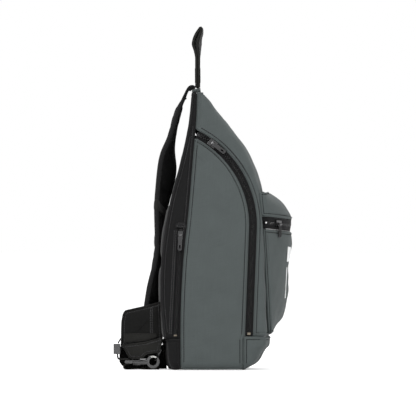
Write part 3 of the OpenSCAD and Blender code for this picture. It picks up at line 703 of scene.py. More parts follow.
def make_back():
    """Back panel: raised pads of mesh with channels between them, bulging a little low down."""
    z = (TOP_Z - 0.006) + (BOOT_TOP - 0.003 - TOP_Z + 0.006) * eased(170)
    share = 2 * eased(96) - 1
    h = half(z) - 0.0015
    y = h[:, None] * share[None]
    channel = np.exp(-((y / 0.011) ** 2))
    for level in (0.145, 0.235, 0.315):
        channel = np.maximum(channel, np.exp(-(((z[:, None] - level - 0.10 * np.abs(y)) / 0.009) ** 2)))
    edge = np.clip((h[:, None] - np.abs(y)) / 0.02, 0, 1)
    crown = 0.0065 * (1 - np.sqrt(np.clip(1 - (1 - edge) ** 2, 0, 1)))
    bulge = 0.0007 + 0.0024 * np.clip((0.27 - z) / 0.07, 0, 1) * np.clip((z - 0.03) / 0.02, 0, 1)
    x = rear_x(z)[:, None] + crown + (0.0042 * channel - bulge[:, None]) * np.clip(edge * 3, 0, 1)
    g = np.stack([x, y, np.broadcast_to(z[:, None], y.shape)], -1)
    obj = panel("back_panel_pads", g, -X_AXIS, seed=31, fold=0.0002)
    finish_piece(obj, back_mesh, "bag", "back_mesh", "back_panel")
    return obj


def band_x(z):
    """The lower band bulges a little, most of all where it rests on the floor."""
    return rear_x(z) - 0.002 - 0.003 * np.clip(1 - z / 0.02, 0, 1)


def make_lower_band():
    g = wrap_grid(0.0006, BOOT_TOP - 0.003, 44, seam_x, seam_x, band_x, 0.006, (18, 8, 44), -1.0)
    obj = panel("lower_back_band_cloth", g, -X_AXIS, seed=35)
    return finish_piece(obj, gusset, "bag", "gusset_fabric", "lower_back_band")


def make_piping():
    parts = []
    z = np.linspace(TOP_Z - 0.006, BOOT_TOP - 0.003, 120)
    for far in (False, True):
        path = side_point(rear_x(z) + 0.0012, z, 0.0004, far)
        t = tangents(path)
        across = unit(np.cross(t, FAR_OUT if far else NEAR_OUT))
        parts.append(sweep("piping_run", path, across, unit(np.cross(across, t)), round_section(0.0017)))
    obj = joined("back_piping_cord", parts)
    finish_piece(obj, binding, "bag", "gusset_fabric", "back_piping")


def joined(name, objs):
    """One object from several, with their cloth coordinates."""
    first = objs[0]
    bm = bmesh.new()
    for o in objs:
        bm.from_mesh(o.data)
    bm.to_mesh(first.data)
    bm.free()
    for o in objs[1:]:
        bpy.data.objects.remove(o)
    first.name = first.data.name = name
    return first


def make_top_cap():
    low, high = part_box("top_cap")
    n = 60
    y = np.linspace(low.y + 0.002, high.y - 0.002, n)
    path = np.stack([np.full(n, (low.x + high.x) / 2), y, np.full(n, (low.z + high.z) / 2)], -1)
    shrink = np.sqrt(np.clip(1 - np.abs(y / y[-1]) ** 14, 0.2, 1))
    section = flat_section(high.x - low.x, 0.0052)[None] * shrink[:, None, None]
    shell_piece(sweep("top_cap_binding", path, [1.0, 0, 0.15], [-0.15, 0, 1.0], section), "top_cap")


# ---------------------------------------------------------------- zips
def main_zip_path(offset=0.0, n=200):
    """Points down the main zip, the directions across it and out of it."""
    arc_length = ZIP_R * (ZIP_TOP + ZIP_LEAN)
    arc_share = arc_length / (arc_length + ZIP_RUN)
    pts, across = [], []
    for s in np.linspace(0, 1, n):
        if s < arc_share:
            a = ZIP_TOP - (ZIP_TOP + ZIP_LEAN) * s / arc_share
            down = 0.0
        else:
            a = -ZIP_LEAN
            down = ZIP_RUN * (s - arc_share) / (1 - arc_share)
        radial = np.array([math.cos(a), 0, 0]) + SIDE_UP * math.sin(a)
        along = np.array([math.sin(a), 0, 0]) - SIDE_UP * math.cos(a)
        pts.append(ZIP_MID + radial * (ZIP_R + offset) + along * down)
        across.append(radial)
    return np.array(pts), np.array(across), np.tile(SIDE_OUT, (n, 1))


def back_zip_path(offset=0.0, n=120):
    ends = side_point(BACK_ZIP[:, 0], BACK_ZIP[:, 1], -0.0019)
    pts = ends[0] + (ends[1] - ends[0]) * np.linspace(0, 1, n)[:, None]
    along = unit(ends[1] - ends[0])
    across = unit(np.cross(SIDE_OUT, along))
    return pts + across * offset, np.tile(across, (n, 1)), np.tile(SIDE_OUT, (n, 1))


def pocket_zip_path(offset=0.0, n=200, half_angle=math.radians(51)):
    a = np.linspace(-half_angle, half_angle, n)
    radial = POCKET_OUT * np.cos(a)[:, None] + Y_AXIS * np.sin(a)[:, None]
    pts = POCKET_MID + radial * (POCKET_R - 0.0018) + POCKET_UP * offset
    return pts, np.tile(POCKET_UP, (n, 1)), radial


def pocket_tape_path(offset, n=200):
    """The pocket zip's path, carried straight back to the body at both ends."""
    pts, across, out = pocket_zip_path(offset, n)
    back = np.linspace(1, 0.08, 12)[:, None] * np.array([-0.012, 0.0, 0.0])
    y_axis = np.tile(Y_AXIS, (12, 1))
    pts = np.vstack([pts[0] + back, pts, pts[-1] + back[::-1]])
    across = np.vstack([across[:12], across, across[-12:]])
    return pts, across, np.vstack([-y_axis, out, y_axis])


def make_zip(label, path_of, tape_w, nodes, pitch=0.0017, tape_path=None):
    """Two tapes with a woven rib on each, and the teeth of the coil between them."""
    tapes = []
    tape_path = tape_path or path_of
    for side in (-1, 1):
        pts, across, out = tape_path(side * (0.0012 + tape_w / 2))
        tapes.append(sweep("tape_run", pts, across, out, flat_section(tape_w, 0.0007)))
        pts, across, out = path_of(side * 0.0033)
        tapes.append(sweep("tape_rib", pts + out * 0.0004, across, out, round_section(0.0005, 8)))
    finish_piece(joined(label + "_zip_tape_pair", tapes), tape, "bag", "zip_tape", nodes[0])
    teeth = []
    pts, across, out = path_of(0.0, 400)
    mids, s, run = resample(pts, pitch)
    across, out = interp_rows(s, run, across), interp_rows(s, run, out)
    for i, (mid, a, o) in enumerate(zip(mids, across, out)):
        t = np.cross(a, o)
        side = 1 if i % 2 else -1
        teeth.append(capsule(mid + a * side * 0.0009, a, t, o, 0.0030, 0.00125, 0.0019))
    finish_piece(merged(label + "_zip_teeth", teeth), coil, "bag", "zip_coil", nodes[1])


DARK_STOPS_Z = 0.1  # the stops above this height are dark


def make_zips():
    make_zip("main", main_zip_path, 0.0072, ("main_zip_tapes", "main_zip_coils"))
    make_zip("back", back_zip_path, 0.0034, ("back_zip_tapes", "back_zip_coils"), 0.0016)
    pocket = ("pocket_zip_tapes", "pocket_zip_coils")
    make_zip("pocket", pocket_zip_path, 0.0073, pocket, tape_path=pocket_tape_path)
    for node in ("main_zip_stops", "back_zip_stops", "pocket_zip_stops"):
        stops = machined(node, "bag", stop_metal, "zip_stop", 0.0004)
        stops.data.materials.append(dark_stop)
        for face in stops.data.polygons:
            face.material_index = int(face.center.z > DARK_STOPS_Z)


def cad_copy(node):
    """A copy of a CAD mesh and its editable form, with doubled points joined."""
    mesh = frame["nodes"][node].data.copy()
    bm = bmesh.new()
    bm.from_mesh(mesh)
    bmesh.ops.remove_doubles(bm, verts=bm.verts, dist=2e-6)
    return mesh, bm


def machined(node, body, material, slot, width, segments=3):
    """A CAD metal part with its sharp edges rounded."""
    mesh, bm = cad_copy(node)
    bmesh.ops.dissolve_limit(bm, angle_limit=math.radians(1.5), verts=bm.verts, edges=bm.edges)
    bm.to_mesh(mesh)
    bm.free()
    obj = linked(node + "_shaped", mesh)
    mesh.polygons.foreach_set("use_smooth", [True] * len(mesh.polygons))
    bevel = obj.modifiers.new("bevel", "BEVEL")
    bevel.width = width
    bevel.segments = segments
    bevel.limit_method = "ANGLE"
    bevel.angle_limit = math.radians(32)
    bevel.harden_normals = False
    weigh = obj.modifiers.new("normals", "WEIGHTED_NORMAL")
    weigh.keep_sharp = False
    return finish_piece(obj, material, body, slot, node)


# ---------------------------------------------------------------- front pocket
# Rows of the pocket's panels, in millimetres: middle X, Z, side X, Z and half width
UPPER_ROWS = [
    (121.5, 222, 90.5, 224, 71.5), (114, 234, 89.6, 232, 71), (104, 243, 88.4, 240, 70),
    (95, 249, 87, 247, 68), (89, 251.5, 86.2, 252, 66),
]
LOWER_ROWS = [
    (124, 175, 92.2, 180, 75), (121.7, 150, 93.6, 150, 79), (119, 116, 95, 116, 83.5),
    (117, 92, 95.9, 90, 86.5), (112, 75, 96.4, 73, 88), (103, 62, 96.8, 60, 87), (97.5, 51, 97, 51, 85),
]


def pocket_zip_row(h):
    """The pocket's row at the height h over the middle of its zip: middle X, Z, side X, Z and half width."""
    chord = 0.0555
    mid = POCKET_MID + POCKET_OUT * POCKET_R + POCKET_UP * h
    side = POCKET_MID + POCKET_OUT * chord + POCKET_UP * h
    return (mid[0] / MM, mid[2] / MM, side[0] / MM, side[2] / MM, math.sqrt(POCKET_R**2 - chord**2) / MM)


def body_front(z, y):
    """X of the front face of the body at the height z and the place y across."""
    h = float(half(z) - tuck(z))
    return float(front_x(z)) - CROWN * min(1.0, abs(z - TOP_Z) / 0.1) * min(abs(y) / h, 1.0) ** 2.2


def pocket_row(row, cols):
    """An arc through the middle, carried on back to the body's face at both ends."""
    mid_x, mid_z, side_x, side_z, w = (q * MM for q in row)
    way = np.array([mid_x - side_x, mid_z - side_z])
    s = max(np.linalg.norm(way), 0.0003)
    way = way / s
    r = (w * w + s * s) / (2 * s)
    top = math.asin(min(w / r, 1))
    pts = []
    for a in top * (2 * eased(cols) - 1):
        m = r * math.cos(a) - (r - s)
        pts.append((side_x + way[0] * m, r * math.sin(a), side_z + way[1] * m))
    end_x = body_front(side_z, w) - 0.0005
    tail = np.linspace(0, 1, 9)[1:]
    right = [(side_x + (end_x - side_x) * t, w + 0.0012 * math.sin(t * 1.57), side_z) for t in tail]
    left = [(x, -y, z) for x, y, z in right]
    return left[::-1] + pts + right


def pocket_grid(rows, steps, cols=72):
    dense = smooth_line(rows, steps)
    return np.array([pocket_row(row, cols) for row in dense])


def make_pocket():
    upper = pocket_grid([pocket_zip_row(POCKET_GAP / 2)] + UPPER_ROWS, 9)
    top = panel("pocket_upper_cloth", upper, X_AXIS, pillow=0.0006, seed=41, wrinkle=0.0006)
    lower = pocket_grid([pocket_zip_row(-POCKET_GAP / 2)] + LOWER_ROWS, 12)
    bottom = panel("pocket_lower_cloth", lower, X_AXIS, pillow=0.0006, seed=47, wrinkle=0.0011)
    return upper, lower, [shell_piece(top, "pocket_upper_panel"), shell_piece(bottom, "pocket_lower_panel")]


def make_patch(lower):
    """A plain pale print: one block and a thin bar under it, with no lettering."""
    z = lower[:, 40, 2]
    n = grid_normals(lower)
    if n[..., 0].mean() < 0:
        n = -n
    parts = []
    for z_high, z_low, k0, k1 in ((0.1745, 0.150, 35, 42), (0.146, 0.100, 35, 37)):
        rows = np.where((z < z_high) & (z > z_low))[0]
        block = lower[rows[0] : rows[-1] + 1, k0:k1] + n[rows[0] : rows[-1] + 1, k0:k1] * 0.0011
        parts.append(panel("print_part", block, X_AXIS, seams="", thick=0.0008, wrinkle=0.0))
    finish_piece(joined("front_print", parts), pale, "bag", "pale_print", "front_patch")


# ---------------------------------------------------------------- threads on finished panels
def tree_for(*objs):
    """A search tree over the meshes of some pieces."""
    bm = bmesh.new()
    for o in objs:
        bm.from_mesh(o.data)
    found = BVHTree.FromBMesh(bm)
    bm.free()
    return found


def laid_on(tree, points, outs, lift=0.0):
    """The points moved along their outward directions onto the pieces in the tree."""
    kept, normals = [], []
    for p, o in zip(np.asarray(points), np.broadcast_to(outs, np.shape(points))):
        o = unit(np.array(o, float))
        hit = tree.ray_cast(Vector(p + o * 0.012), Vector(-o), 0.024)
        if hit[0] is not None:
            n = np.array(hit[1])
            n = n if n @ o > 0 else -n
            kept.append(np.array(hit[0]) + n * lift)
            normals.append(n)
    return np.array(kept), np.array(normals)


def seam_threads(name, objs, lines, material, body="bag", slot="shell_fabric"):
    tree = tree_for(*objs)
    runs = []
    for points, outs in lines:
        mids, _, _ = resample(points, 0.0012)
        on, normals = laid_on(tree, mids, np.asarray(outs))
        if len(on) > 4:
            runs.append((on, normals))
    return stitches(name, runs, body, slot, material)


def side_run(x_of, z_low, z_high, inset, far=False, n=160):
    """A line down a side at a distance from the curve x_of."""
    z = np.linspace(z_high, z_low, n)
    return side_point(x_of(z) + inset, z, 0.0, far)


def shell_thread_lines():
    """Lines of stitching beside the main zip, the seams and the boot, with their outward directions."""
    def zip_line(z):
        return zip_x(z, ZIP_R)

    lines = [(main_zip_path(side * (ZIP_GAP / 2 + STITCH_IN))[0], NEAR_OUT) for side in (-1, 1)]
    lines.append((side_run(seam_x, 0.012, 0.318, STITCH_IN), NEAR_OUT))
    lines.append((side_run(seam_x, 0.012, 0.318, STITCH_IN, True), FAR_OUT))
    for inset in (-STITCH_IN, STITCH_IN):
        lines.append((side_run(zip_line, BOOT_TOP + 0.004, 0.3, inset, True), FAR_OUT))
    for far, out in ((False, NEAR_OUT), (True, FAR_OUT)):
        for dz in (-STITCH_IN, STITCH_IN):
            row = side_point(np.linspace(BOOT_X + 0.003, 0.079, 60), BOOT_TOP + dz, 0.0, far)
            lines.append((row, out))
        for inset in (STITCH_IN, -STITCH_IN):
            lines.append((side_run(boot_seam, 0.008, BOOT_TOP - 0.004, inset, far, 60), out))
    y = np.linspace(-0.096, 0.096, 160)
    for dz in (-STITCH_IN, STITCH_IN):
        lines.append((np.stack([np.full(160, 0.093), y, np.full(160, BOOT_TOP + dz)], -1), X_AXIS))
    return lines


def gusset_thread_lines():
    lines = []
    for far, out in ((False, NEAR_OUT), (True, FAR_OUT)):
        lines.append((side_run(seam_x, BOOT_TOP + 0.004, 0.345, -0.0038, far), out))
        lines.append((side_run(rear_x, BOOT_TOP + 0.004, 0.33, 0.0052, far), out))
    z = np.linspace(0.198, 0.049, 90)
    for off in (-0.0062, -0.0088):
        lines.append((side_point(back_zip_x(z) + off, z), NEAR_OUT))
    z = np.linspace(0.36, BOOT_TOP + 0.004, 160)
    for side in (-1, 1):
        lines.append((np.stack([rear_x(z), side * (half(z) - 0.0068), z], -1), -X_AXIS))
    return lines


def grid_line(g, edge, distance):
    """A line on a grid at a distance in from its t, b, l or r edge."""
    if edge in "lr":
        g = g.transpose(1, 0, 2)
    run = arc_lengths(g, 0)
    if edge in "br":
        run = run[-1:, :] - run
    pts = []
    for k in range(g.shape[1]):
        d, line = run[:, k], g[:, k]
        order = np.argsort(d)
        if d.max() > distance:
            pts.append([np.interp(distance, d[order], line[order, c]) for c in range(3)])
    return np.array(pts)


def make_pocket_threads(pieces, upper, lower):
    lines = []
    for g in (upper, lower):
        for edge in "tblr":
            line = grid_line(g, edge, STITCH_IN)
            aside = unit(np.mean(line * (1, 1, 0), axis=0) - (0.06, 0, 0))
            lines.append((line, aside if edge in "lr" else np.array([1.0, 0, 0.1])))
    seam_threads("pocket_threads", pieces, lines, thread)


# ---------------------------------------------------------------- soft pieces made from outlines
def soft_loop(outline, step=0.0012, passes=3):
    """A closed outline with evenly spaced points and softened corners."""
    closed = np.vstack([outline, outline[:1]]).astype(float)
    run = lengths(closed)
    count = int(run[-1] / step)
    loop = interp_rows(np.arange(count) * run[-1] / count, run, closed)
    for _ in range(passes):
        loop = (np.roll(loop, 1, 0) + 2 * loop + np.roll(loop, -1, 0)) / 4
    return loop


DEPTHS = np.array([0, 0.25, 0.7, 1.3, 2.0, 2.6, 3.0, 3.4, 3.9, 4.6, 5.6, 7.2, 9.5, 13, 17, 22, 28, 35]) * MM


def edge_profile(d, t, bound):
    """Half thickness at a distance d from the edge: a bound edge, a stitched groove, then a soft crown."""
    roll = np.sqrt(np.clip(1 - ((d - bound) / bound) ** 2, 0, 1)) * t * 0.42
    pad = t * (0.36 + 0.14 * (1 - np.exp(-(d - 2 * bound) / 0.006)))
    pad = pad - 0.0006 * np.exp(-(((d - 2.3 * bound) / 0.0006) ** 2))
    return np.where(d < 1.9 * bound, roll, pad)


def plate(name, outline, place, out, t, bound=0.0016, seed=1, wrinkle=0.0004):
    """A sewn flat piece with a bound edge. place turns outline points into points of the middle plane."""
    loop = soft_loop(outline)
    mid = loop.mean(0)
    count = len(loop)
    reach = np.linalg.norm(loop - mid, axis=1)
    rings = []
    for d in DEPTHS:
        share = np.minimum(d / reach, 0.97)
        rings.append((loop + (mid - loop) * share[:, None], share * reach))
    verts, cloth = [], []
    out = np.asarray(out, float)
    for side in (1, -1):
        for flat, depth in rings if side > 0 else rings[1:]:
            p = place(flat)
            rise = edge_profile(depth, t, bound)
            rise = rise + wrinkle * np.clip(depth / 0.01, 0, 1) * ripples(p, 0.035, seed)
            verts.append(p + out * (side * rise)[:, None])
            cloth.append(np.column_stack([flat * 1000, np.zeros(count)]))
    centre = place(mid[None])[0]
    rows = len(rings)
    faces = []
    front = list(range(rows))
    back = [0] + list(range(rows, 2 * rows - 1))
    for order, flip in ((front, False), (back, True)):
        for a, b in zip(order, order[1:]):
            faces += [q[::-1] if flip else q for q in ring_faces(a * count, b * count, count)]
    total = len(verts) * count
    for order, side, flip in ((front, 1, False), (back, -1, True)):
        base = order[-1] * count
        for k in range(count):
            q = [base + k, base + (k + 1) % count, total + (0 if side > 0 else 1)]
            faces.append(q[::-1] if flip else q)
    tips = np.array([centre + out * t * 0.5, centre - out * t * 0.5])
    verts = np.vstack(verts + [tips])
    cloth = np.vstack(cloth + [np.tile([*(mid * 1000), 0], (2, 1))])
    return new_object(name, verts, faces, cloth), loop, place


def ribbon(name, points, y, width, t, seed=1, twist=None):
    """Webbing along an X-Z line, across Y (turned by twist of Z): firm edges and a little slackness."""
    path = smooth_line(np.array(points, float), 10)
    path, _, _ = resample(np.column_stack([path[:, 0], np.full(len(path), 0.0), path[:, 1]]) * MM, 0.0009)
    path[:, 1] = y + 0.0004 * ripples(path, 0.04, seed)
    along = tangents(path)
    turn = np.zeros(len(path)) if twist is None else twist(path[:, 2])
    across = np.column_stack([np.sin(turn), np.cos(turn), np.zeros(len(path))])
    across = unit(across - np.sum(across * along, 1, keepdims=True) * along)
    normal = unit(np.cross(along, across))
    section = flat_section(width, t, 5)
    firm = 1 + 0.22 * np.exp(-(((width / 2 - np.abs(section[:, 0])) / 0.0015) ** 2))
    section = section * np.column_stack([np.ones(len(section)), firm])
    return sweep(name, path, across, normal, section)


def rumpled(node, body, material, slot, amount=0.0003, longest=0.009, inset=0.0):
    """A hidden soft part: the CAD shape divided finely, moved in a little, with cloth-like unevenness."""
    mesh, bm = cad_copy(node)
    for _ in range(4):
        long_edges = [e for e in bm.edges if e.calc_length() > longest]
        if not long_edges:
            break
        bmesh.ops.subdivide_edges(bm, edges=long_edges, cuts=1)
        bmesh.ops.triangulate(bm, faces=bm.faces)
    bm.normal_update()
    p = np.array([v.co for v in bm.verts])
    n = np.array([v.normal for v in bm.verts])
    p = p + n * (amount * ripples(p, 0.03, len(node)) - inset)[:, None]
    for v, q in zip(bm.verts, p):
        v.co = q
    bm.to_mesh(mesh)
    bm.free()
    flat = np.where(np.abs(n[:, :1]) > 0.6, p[:, [1, 2, 0]], p[:, [0, 2, 1]]) * 1000
    set_cloth(mesh, flat)
    return finish_piece(linked(node + "_soft", mesh), material, body, slot, node)


# ---------------------------------------------------------------- padded cloth filling out
VOXEL = 0.004
SETTLE_FRAMES = 20
CLOTH_SETTINGS = {
    "quality": 6, "mass": 0.2, "tension_stiffness": 12, "compression_stiffness": 8, "bending_stiffness": 0.3,
    "use_pressure": True, "vertex_group_mass": "held",
}


def coarse_copy(obj):
    """An evenly meshed coarse copy, for the simulation."""
    coarse = linked("settling_copy", obj.data.copy())
    remesh = coarse.modifiers.new("remesh", "REMESH")
    remesh.mode = "VOXEL"
    remesh.voxel_size = VOXEL
    evaluated = coarse.evaluated_get(bpy.context.evaluated_depsgraph_get())
    mesh = bpy.data.meshes.new_from_object(evaluated)
    coarse.modifiers.clear()
    coarse.data = mesh
    return coarse


def cloth_movement(coarse, weights, pressure, slack):
    """How far each point of the copy moves as it fills out. The weights, from 0 to 1, hold it."""
    scene = bpy.context.scene
    rest = points_of(coarse.data)
    group = coarse.vertex_groups.new(name="held")
    for i, weight in enumerate(weights):
        group.add([i], float(weight), "REPLACE")
    cloth = coarse.modifiers.new("cloth", "CLOTH")
    for key, value in CLOTH_SETTINGS.items():
        setattr(cloth.settings, key, value)
    cloth.settings.shrink_min = -slack
    cloth.settings.uniform_pressure_force = pressure
    cloth.settings.effector_weights.gravity = 0
    cloth.point_cache.frame_start = 1
    cloth.point_cache.frame_end = SETTLE_FRAMES
    for f in range(1, SETTLE_FRAMES + 1):
        scene.frame_set(f)
    evaluated = coarse.evaluated_get(bpy.context.evaluated_depsgraph_get())
    moved = points_of(evaluated.data) - rest
    scene.frame_set(1)
    return moved


def settle(obj, held, cap, pressure=4.0, slack=0.03):
    """Lets a padded piece fill out as cloth. A coarse copy is simulated, and its movement carried over.

    held gives how firmly each point of the copy is held, from 0 to 1. No point moves further than cap.
    """
    coarse = coarse_copy(obj)
    rest = points_of(coarse.data)
    moved = cloth_movement(coarse, held(rest), pressure, slack)
    bpy.data.objects.remove(coarse)
    size = np.linalg.norm(moved, axis=1, keepdims=True)
    moved = moved * np.minimum(1, cap / np.maximum(size, 1e-9))
    finder = KDTree(len(rest))
    for i, p in enumerate(rest):
        finder.insert(Vector(p), i)
    finder.balance()
    fine = points_of(obj.data)
    for k, p in enumerate(fine):
        near = finder.find_n(Vector(p), 6)
        w = np.array([1 / (d + 0.001) ** 2 for _, _, d in near])
        fine[k] = p + (moved[[i for _, i, _ in near]] * w[:, None]).sum(0) / w.sum()
    obj.data.vertices.foreach_set("co", fine.ravel())
    obj.data.update()


def points_of(mesh):
    p = np.empty(len(mesh.vertices) * 3)
    mesh.vertices.foreach_get("co", p)
    return p.reshape(-1, 3)


# ---------------------------------------------------------------- strap
# Points down the strap: X, Y and Z in millimetres, and its twist in degrees
STRAP_PATH = [
    (-22.5, 0, 389.5, 0), (-35.5, -1, 366, 0), (-46, -6, 322, 7), (-51.5, -15, 284, 20),
    (-60.8, -30, 227, 12), (-66, -46, 160, 4), (-72.5, -56, 110, 13), (-76.5, -58, 52, 22),
]
STRAP_ROOT = [
    (-12.2, 0, 398.6, 0), (-14.6, 0, 400.6, 0), (-18.6, 0, 400.2, 0), (-22.6, 0, 395.6, 0),
    (-28.5, -0.4, 382, 0),
]
STRAP_W, STRAP_T = 0.065, 0.008


def strap_lean(z):
    """How far the lower strap leans on the bag's back."""
    return 0.0018 * np.clip((0.24 - z) / 0.08, 0, 1)


def strap_frame(steps=26):
    """Points down the middle of the strap, with the directions across it and out of it."""
    dense = smooth_line(STRAP_ROOT + STRAP_PATH[1:], steps)
    p = dense[:, :3] * MM
    p[:, 0] += strap_lean(p[:, 2])
    twist = np.radians(dense[:, 3])
    along = tangents(p)
    flat = np.column_stack([-np.sin(twist), -np.cos(twist), np.zeros(len(p))])
    across = unit(flat - np.sum(flat * along, 1, keepdims=True) * along)
    return p, across, np.cross(along, across)


def strap_shape(p, n=46, grow=0.0):
    """The strap's cross-section at each point: a soft crown between two stitched edges."""
    s = np.sin(np.linspace(-math.pi / 2, math.pi / 2, n))
    far = np.abs(s)
    pad = STRAP_T / 2 * (0.66 + 0.34 * (1 - far**2.2)) * np.clip((1.0 - far) / 0.05, 0, 1) ** 0.5
    groove = 0.0011 * np.exp(-(((far - 0.86) / 0.016) ** 2))
    upper = np.maximum(pad - groove, 0.0002)
    x = s * STRAP_W / 2
    broad = np.stack(np.broadcast_arrays(p[:, 2:3], x[None], 0.0), -1)
    fine = np.stack(np.broadcast_arrays(p[:, 2:3] * 3.0, x[None] * 0.7, 1.0), -1)
    uneven = ripples(broad, 0.05, 61) + 0.7 * ripples(fine, 0.03, 62)
    uneven = 0.00045 * np.clip((0.9 - far) * 4, 0, 1)[None] * uneven
    thin = 0.42 + 0.58 * np.clip((0.392 - p[:, 2:3]) / 0.03, 0, 1) ** 0.8
    upper = upper[None] * thin
    uneven = uneven * thin
    top = upper + uneven + grow
    low = -(upper * 0.92 + uneven * 0.6 + grow)
    xs = np.broadcast_to(x[None] * (1 + grow / 0.035), top.shape)
    under = np.stack([xs[:, ::-1], low[:, ::-1]], -1)[:, 1:-1]
    return np.concatenate([np.stack([xs, top], -1), under], 1)


def strap_ends(section, n=7):
    """Rounds the two ends of a swept piece."""
    shrink = np.ones(len(section))
    ease = np.sqrt(1 - (1 - np.arange(1, n + 1) / n) ** 2)
    shrink[:n] = 0.12 + 0.88 * ease
    shrink[-n:] = (0.12 + 0.88 * ease)[::-1]
    section = section.copy()
    section[..., 1] *= shrink[:, None]
    return section


def strap_edges(p, across, out):
    """The binding round both edges of the strap."""
    bound = []
    thin = 0.62 + 0.38 * np.clip((0.392 - p[:, 2]) / 0.03, 0, 1)
    for side in (-1, 1):
        edge = p + across * side * (STRAP_W / 2 - 0.0016)
        oval = round_section(1.0, 14)[None] * np.array([0.0020, 0.0031]) * thin[:, None, None]
        bound.append(sweep("edge_run", edge, across, out, oval))
    return bound


def make_strap_foam(p, across):
    """The foam, a little narrower than its cover and leaning with it."""
    obj = rumpled("strap_foam", None, foam, "foam", inset=0.0019)
    q = points_of(obj.data)
    q[:, 0] += strap_lean(q[:, 2])
    near = np.argmin(np.linalg.norm(q[:, None] - p[None], axis=2), 1)
    aside = np.sum((q - p[near]) * across[near], 1)
    q -= 0.12 * aside[:, None] * across[near]
    obj.data.vertices.foreach_set("co", q.ravel())
    return obj


def make_strap_threads(cover, p, across, out):
    lines = []
    tree = tree_for(cover)
    for side in (-1, 1):
        for face in (-1, 1):
            line = p[4:-4] + across[4:-4] * side * STRAP_W / 2 * 0.86
            lines.append(laid_on(tree, line, out[4:-4] * face))
    for z in (0.0565, 0.0605):
        k = int(np.argmin(np.abs(p[:, 2] - z)))
        row = p[k] + across[k] * np.linspace(-0.026, 0.026, 40)[:, None]
        lines.append(laid_on(tree, row, out[k]))
    return stitches("strap_threads", lines, None, "strap_fabric", black_thread)


def make_strap():
    p, across, out = strap_frame()
    cover = sweep("strap_cover_cloth", p, across, out, strap_ends(strap_shape(p)))

    def held(q):
        nearest = np.argmin(np.linalg.norm(q[:, None] - p[None], axis=2), axis=1)
        off = np.abs(np.sum((q - p[nearest]) * across[nearest], 1)) / (STRAP_W / 2)
        at_ends = (q[:, 2] > 0.372) | (q[:, 2] < 0.058) | (np.abs(q[:, 2] - 0.225) < 0.007)
        return np.where(at_ends, 1.0, np.clip((off - 0.8) / 0.08, 0, 1))

    settle(cover, held, 0.0013, slack=0.012)
    bound = strap_edges(p, across, out)
    near = np.where((p[:, 2] > 0.2165) & (p[:, 2] < 0.2335))[0]
    band = strap_ends(strap_shape(p[near], grow=0.0008), 3)
    band = sweep("strap_cross_band", p[near], across[near], out[near], band)
    binding_run = joined("strap_edge_binding", bound)
    finish_piece(cover, strap_cloth, None, "strap_fabric", "strap_cover")
    finish_piece(binding_run, binding, None, "strap_fabric")
    finish_piece(band, webbing, "strap", "webbing")
    foam_piece = make_strap_foam(p, across)
    sewn = make_strap_threads(cover, p, across, out)
    for o in (cover, binding_run, foam_piece, sewn):
        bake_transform(o)


ANCHOR = [
    (-17, 396.8), (-11.6, 396.8), (-11.6, 399.4), (-15, 400.2), (-18.6, 398.6), (-20.6, 395.4),
    (-18.8, 394.4), (-17, 395.6),
]


def make_strap_root():
    """The strap's root, folded over the top seam."""
    loop = soft_loop(np.array(ANCHOR) * MM, 0.0007, 2)
    mid = loop.mean(0)
    y = np.linspace(-0.030, 0.030, 70)
    shrink = 0.8 + 0.2 * np.sqrt(np.clip((0.030 - np.abs(y)) / 0.0015, 0, 1))
    section = (loop - mid)[None] * shrink[:, None, None]
    path = np.column_stack([np.full(70, mid[0]), y, np.full(70, mid[1]) + 0.0003 * np.sin(y * 260)])
    obj = sweep("strap_root_fold", path, X_AXIS, Z_AXIS, section)
    finish_piece(obj, binding, "bag", "strap_fabric", "strap_anchor")


WING_Y, FLAP_Y = -0.0945, -0.101
WING = np.array([
    (-116.6, 32), (-115.8, 68), (-113.5, 80), (-110.5, 84.5), (-86, 90), (-58.8, 97), (-57.0, 40),
]) * MM
FLAP = np.array([
    (-115.5, 35.8), (-82, 40), (-58.6, 46.5), (-58.8, 36), (-63, 24.5), (-80, 22.5), (-86, 16.2),
    (-104, 15.8),
]) * MM
FLAP_TOP = np.array([(-112, 38.4), (-82, 41), (-66, 46), (-66, 52), (-112, 52)]) * MM


def on_wall(y):
    """Places X-Z points of an outline in the upright plane at y."""
    return lambda q: np.column_stack([q[:, 0], np.full(len(q), y), q[:, 1]])


def inset_loop(loop, d):
    """A closed outline moved inwards by d."""
    t = unit(np.roll(loop, -1, 0) - np.roll(loop, 1, 0))
    n = np.column_stack([-t[:, 1], t[:, 0]])
    if np.mean(np.sum((loop.mean(0) - loop) * n, 1)) < 0:
        n = -n
    return loop + n * d


def make_wing():
    out = -Y_AXIS
    wing, loop, place = plate("strap_wing_pad", WING, on_wall(WING_Y), out, 0.005, 0.0019, 71, 0.0005)

    def held(q):
        flat = q[:, None, [0, 2]] - loop[None, ::4]
        return np.clip((0.009 - np.min(np.linalg.norm(flat, axis=2), axis=1)) / 0.003, 0, 1)

    settle(wing, held, 0.0014, 3.0, 0.015)
    finish_piece(wing, wing_cloth, "strap", "webbing", "strap_wing")
    flap, flap_loop, flap_place = plate("strap_flap_pad", FLAP, on_wall(FLAP_Y), out, 0.0034, 0.0015, 73)
    strip, _, _ = plate("flap_strip", FLAP_TOP, on_wall(-0.0982), out, 0.0022, 0.0009, 74)
    flap = finish_piece(joined("strap_flap_pad", [flap, strip]), webbing, "strap", "webbing", "strap_flap")
    lines = []
    for obj, q, where, d in ((wing, loop, place, STITCH_IN), (flap, flap_loop, flap_place, 0.0037)):
        line = where(inset_loop(q, d))
        lines.append(laid_on(tree_for(obj), line, out))
    for x in (-0.072, -0.0745):
        row = np.column_stack([np.full(50, x), np.linspace(0.052, 0.09, 50)])
        lines.append(laid_on(tree_for(wing), place(row), out))
    stitches("wing_threads", lines, "strap", "webbing", black_thread)


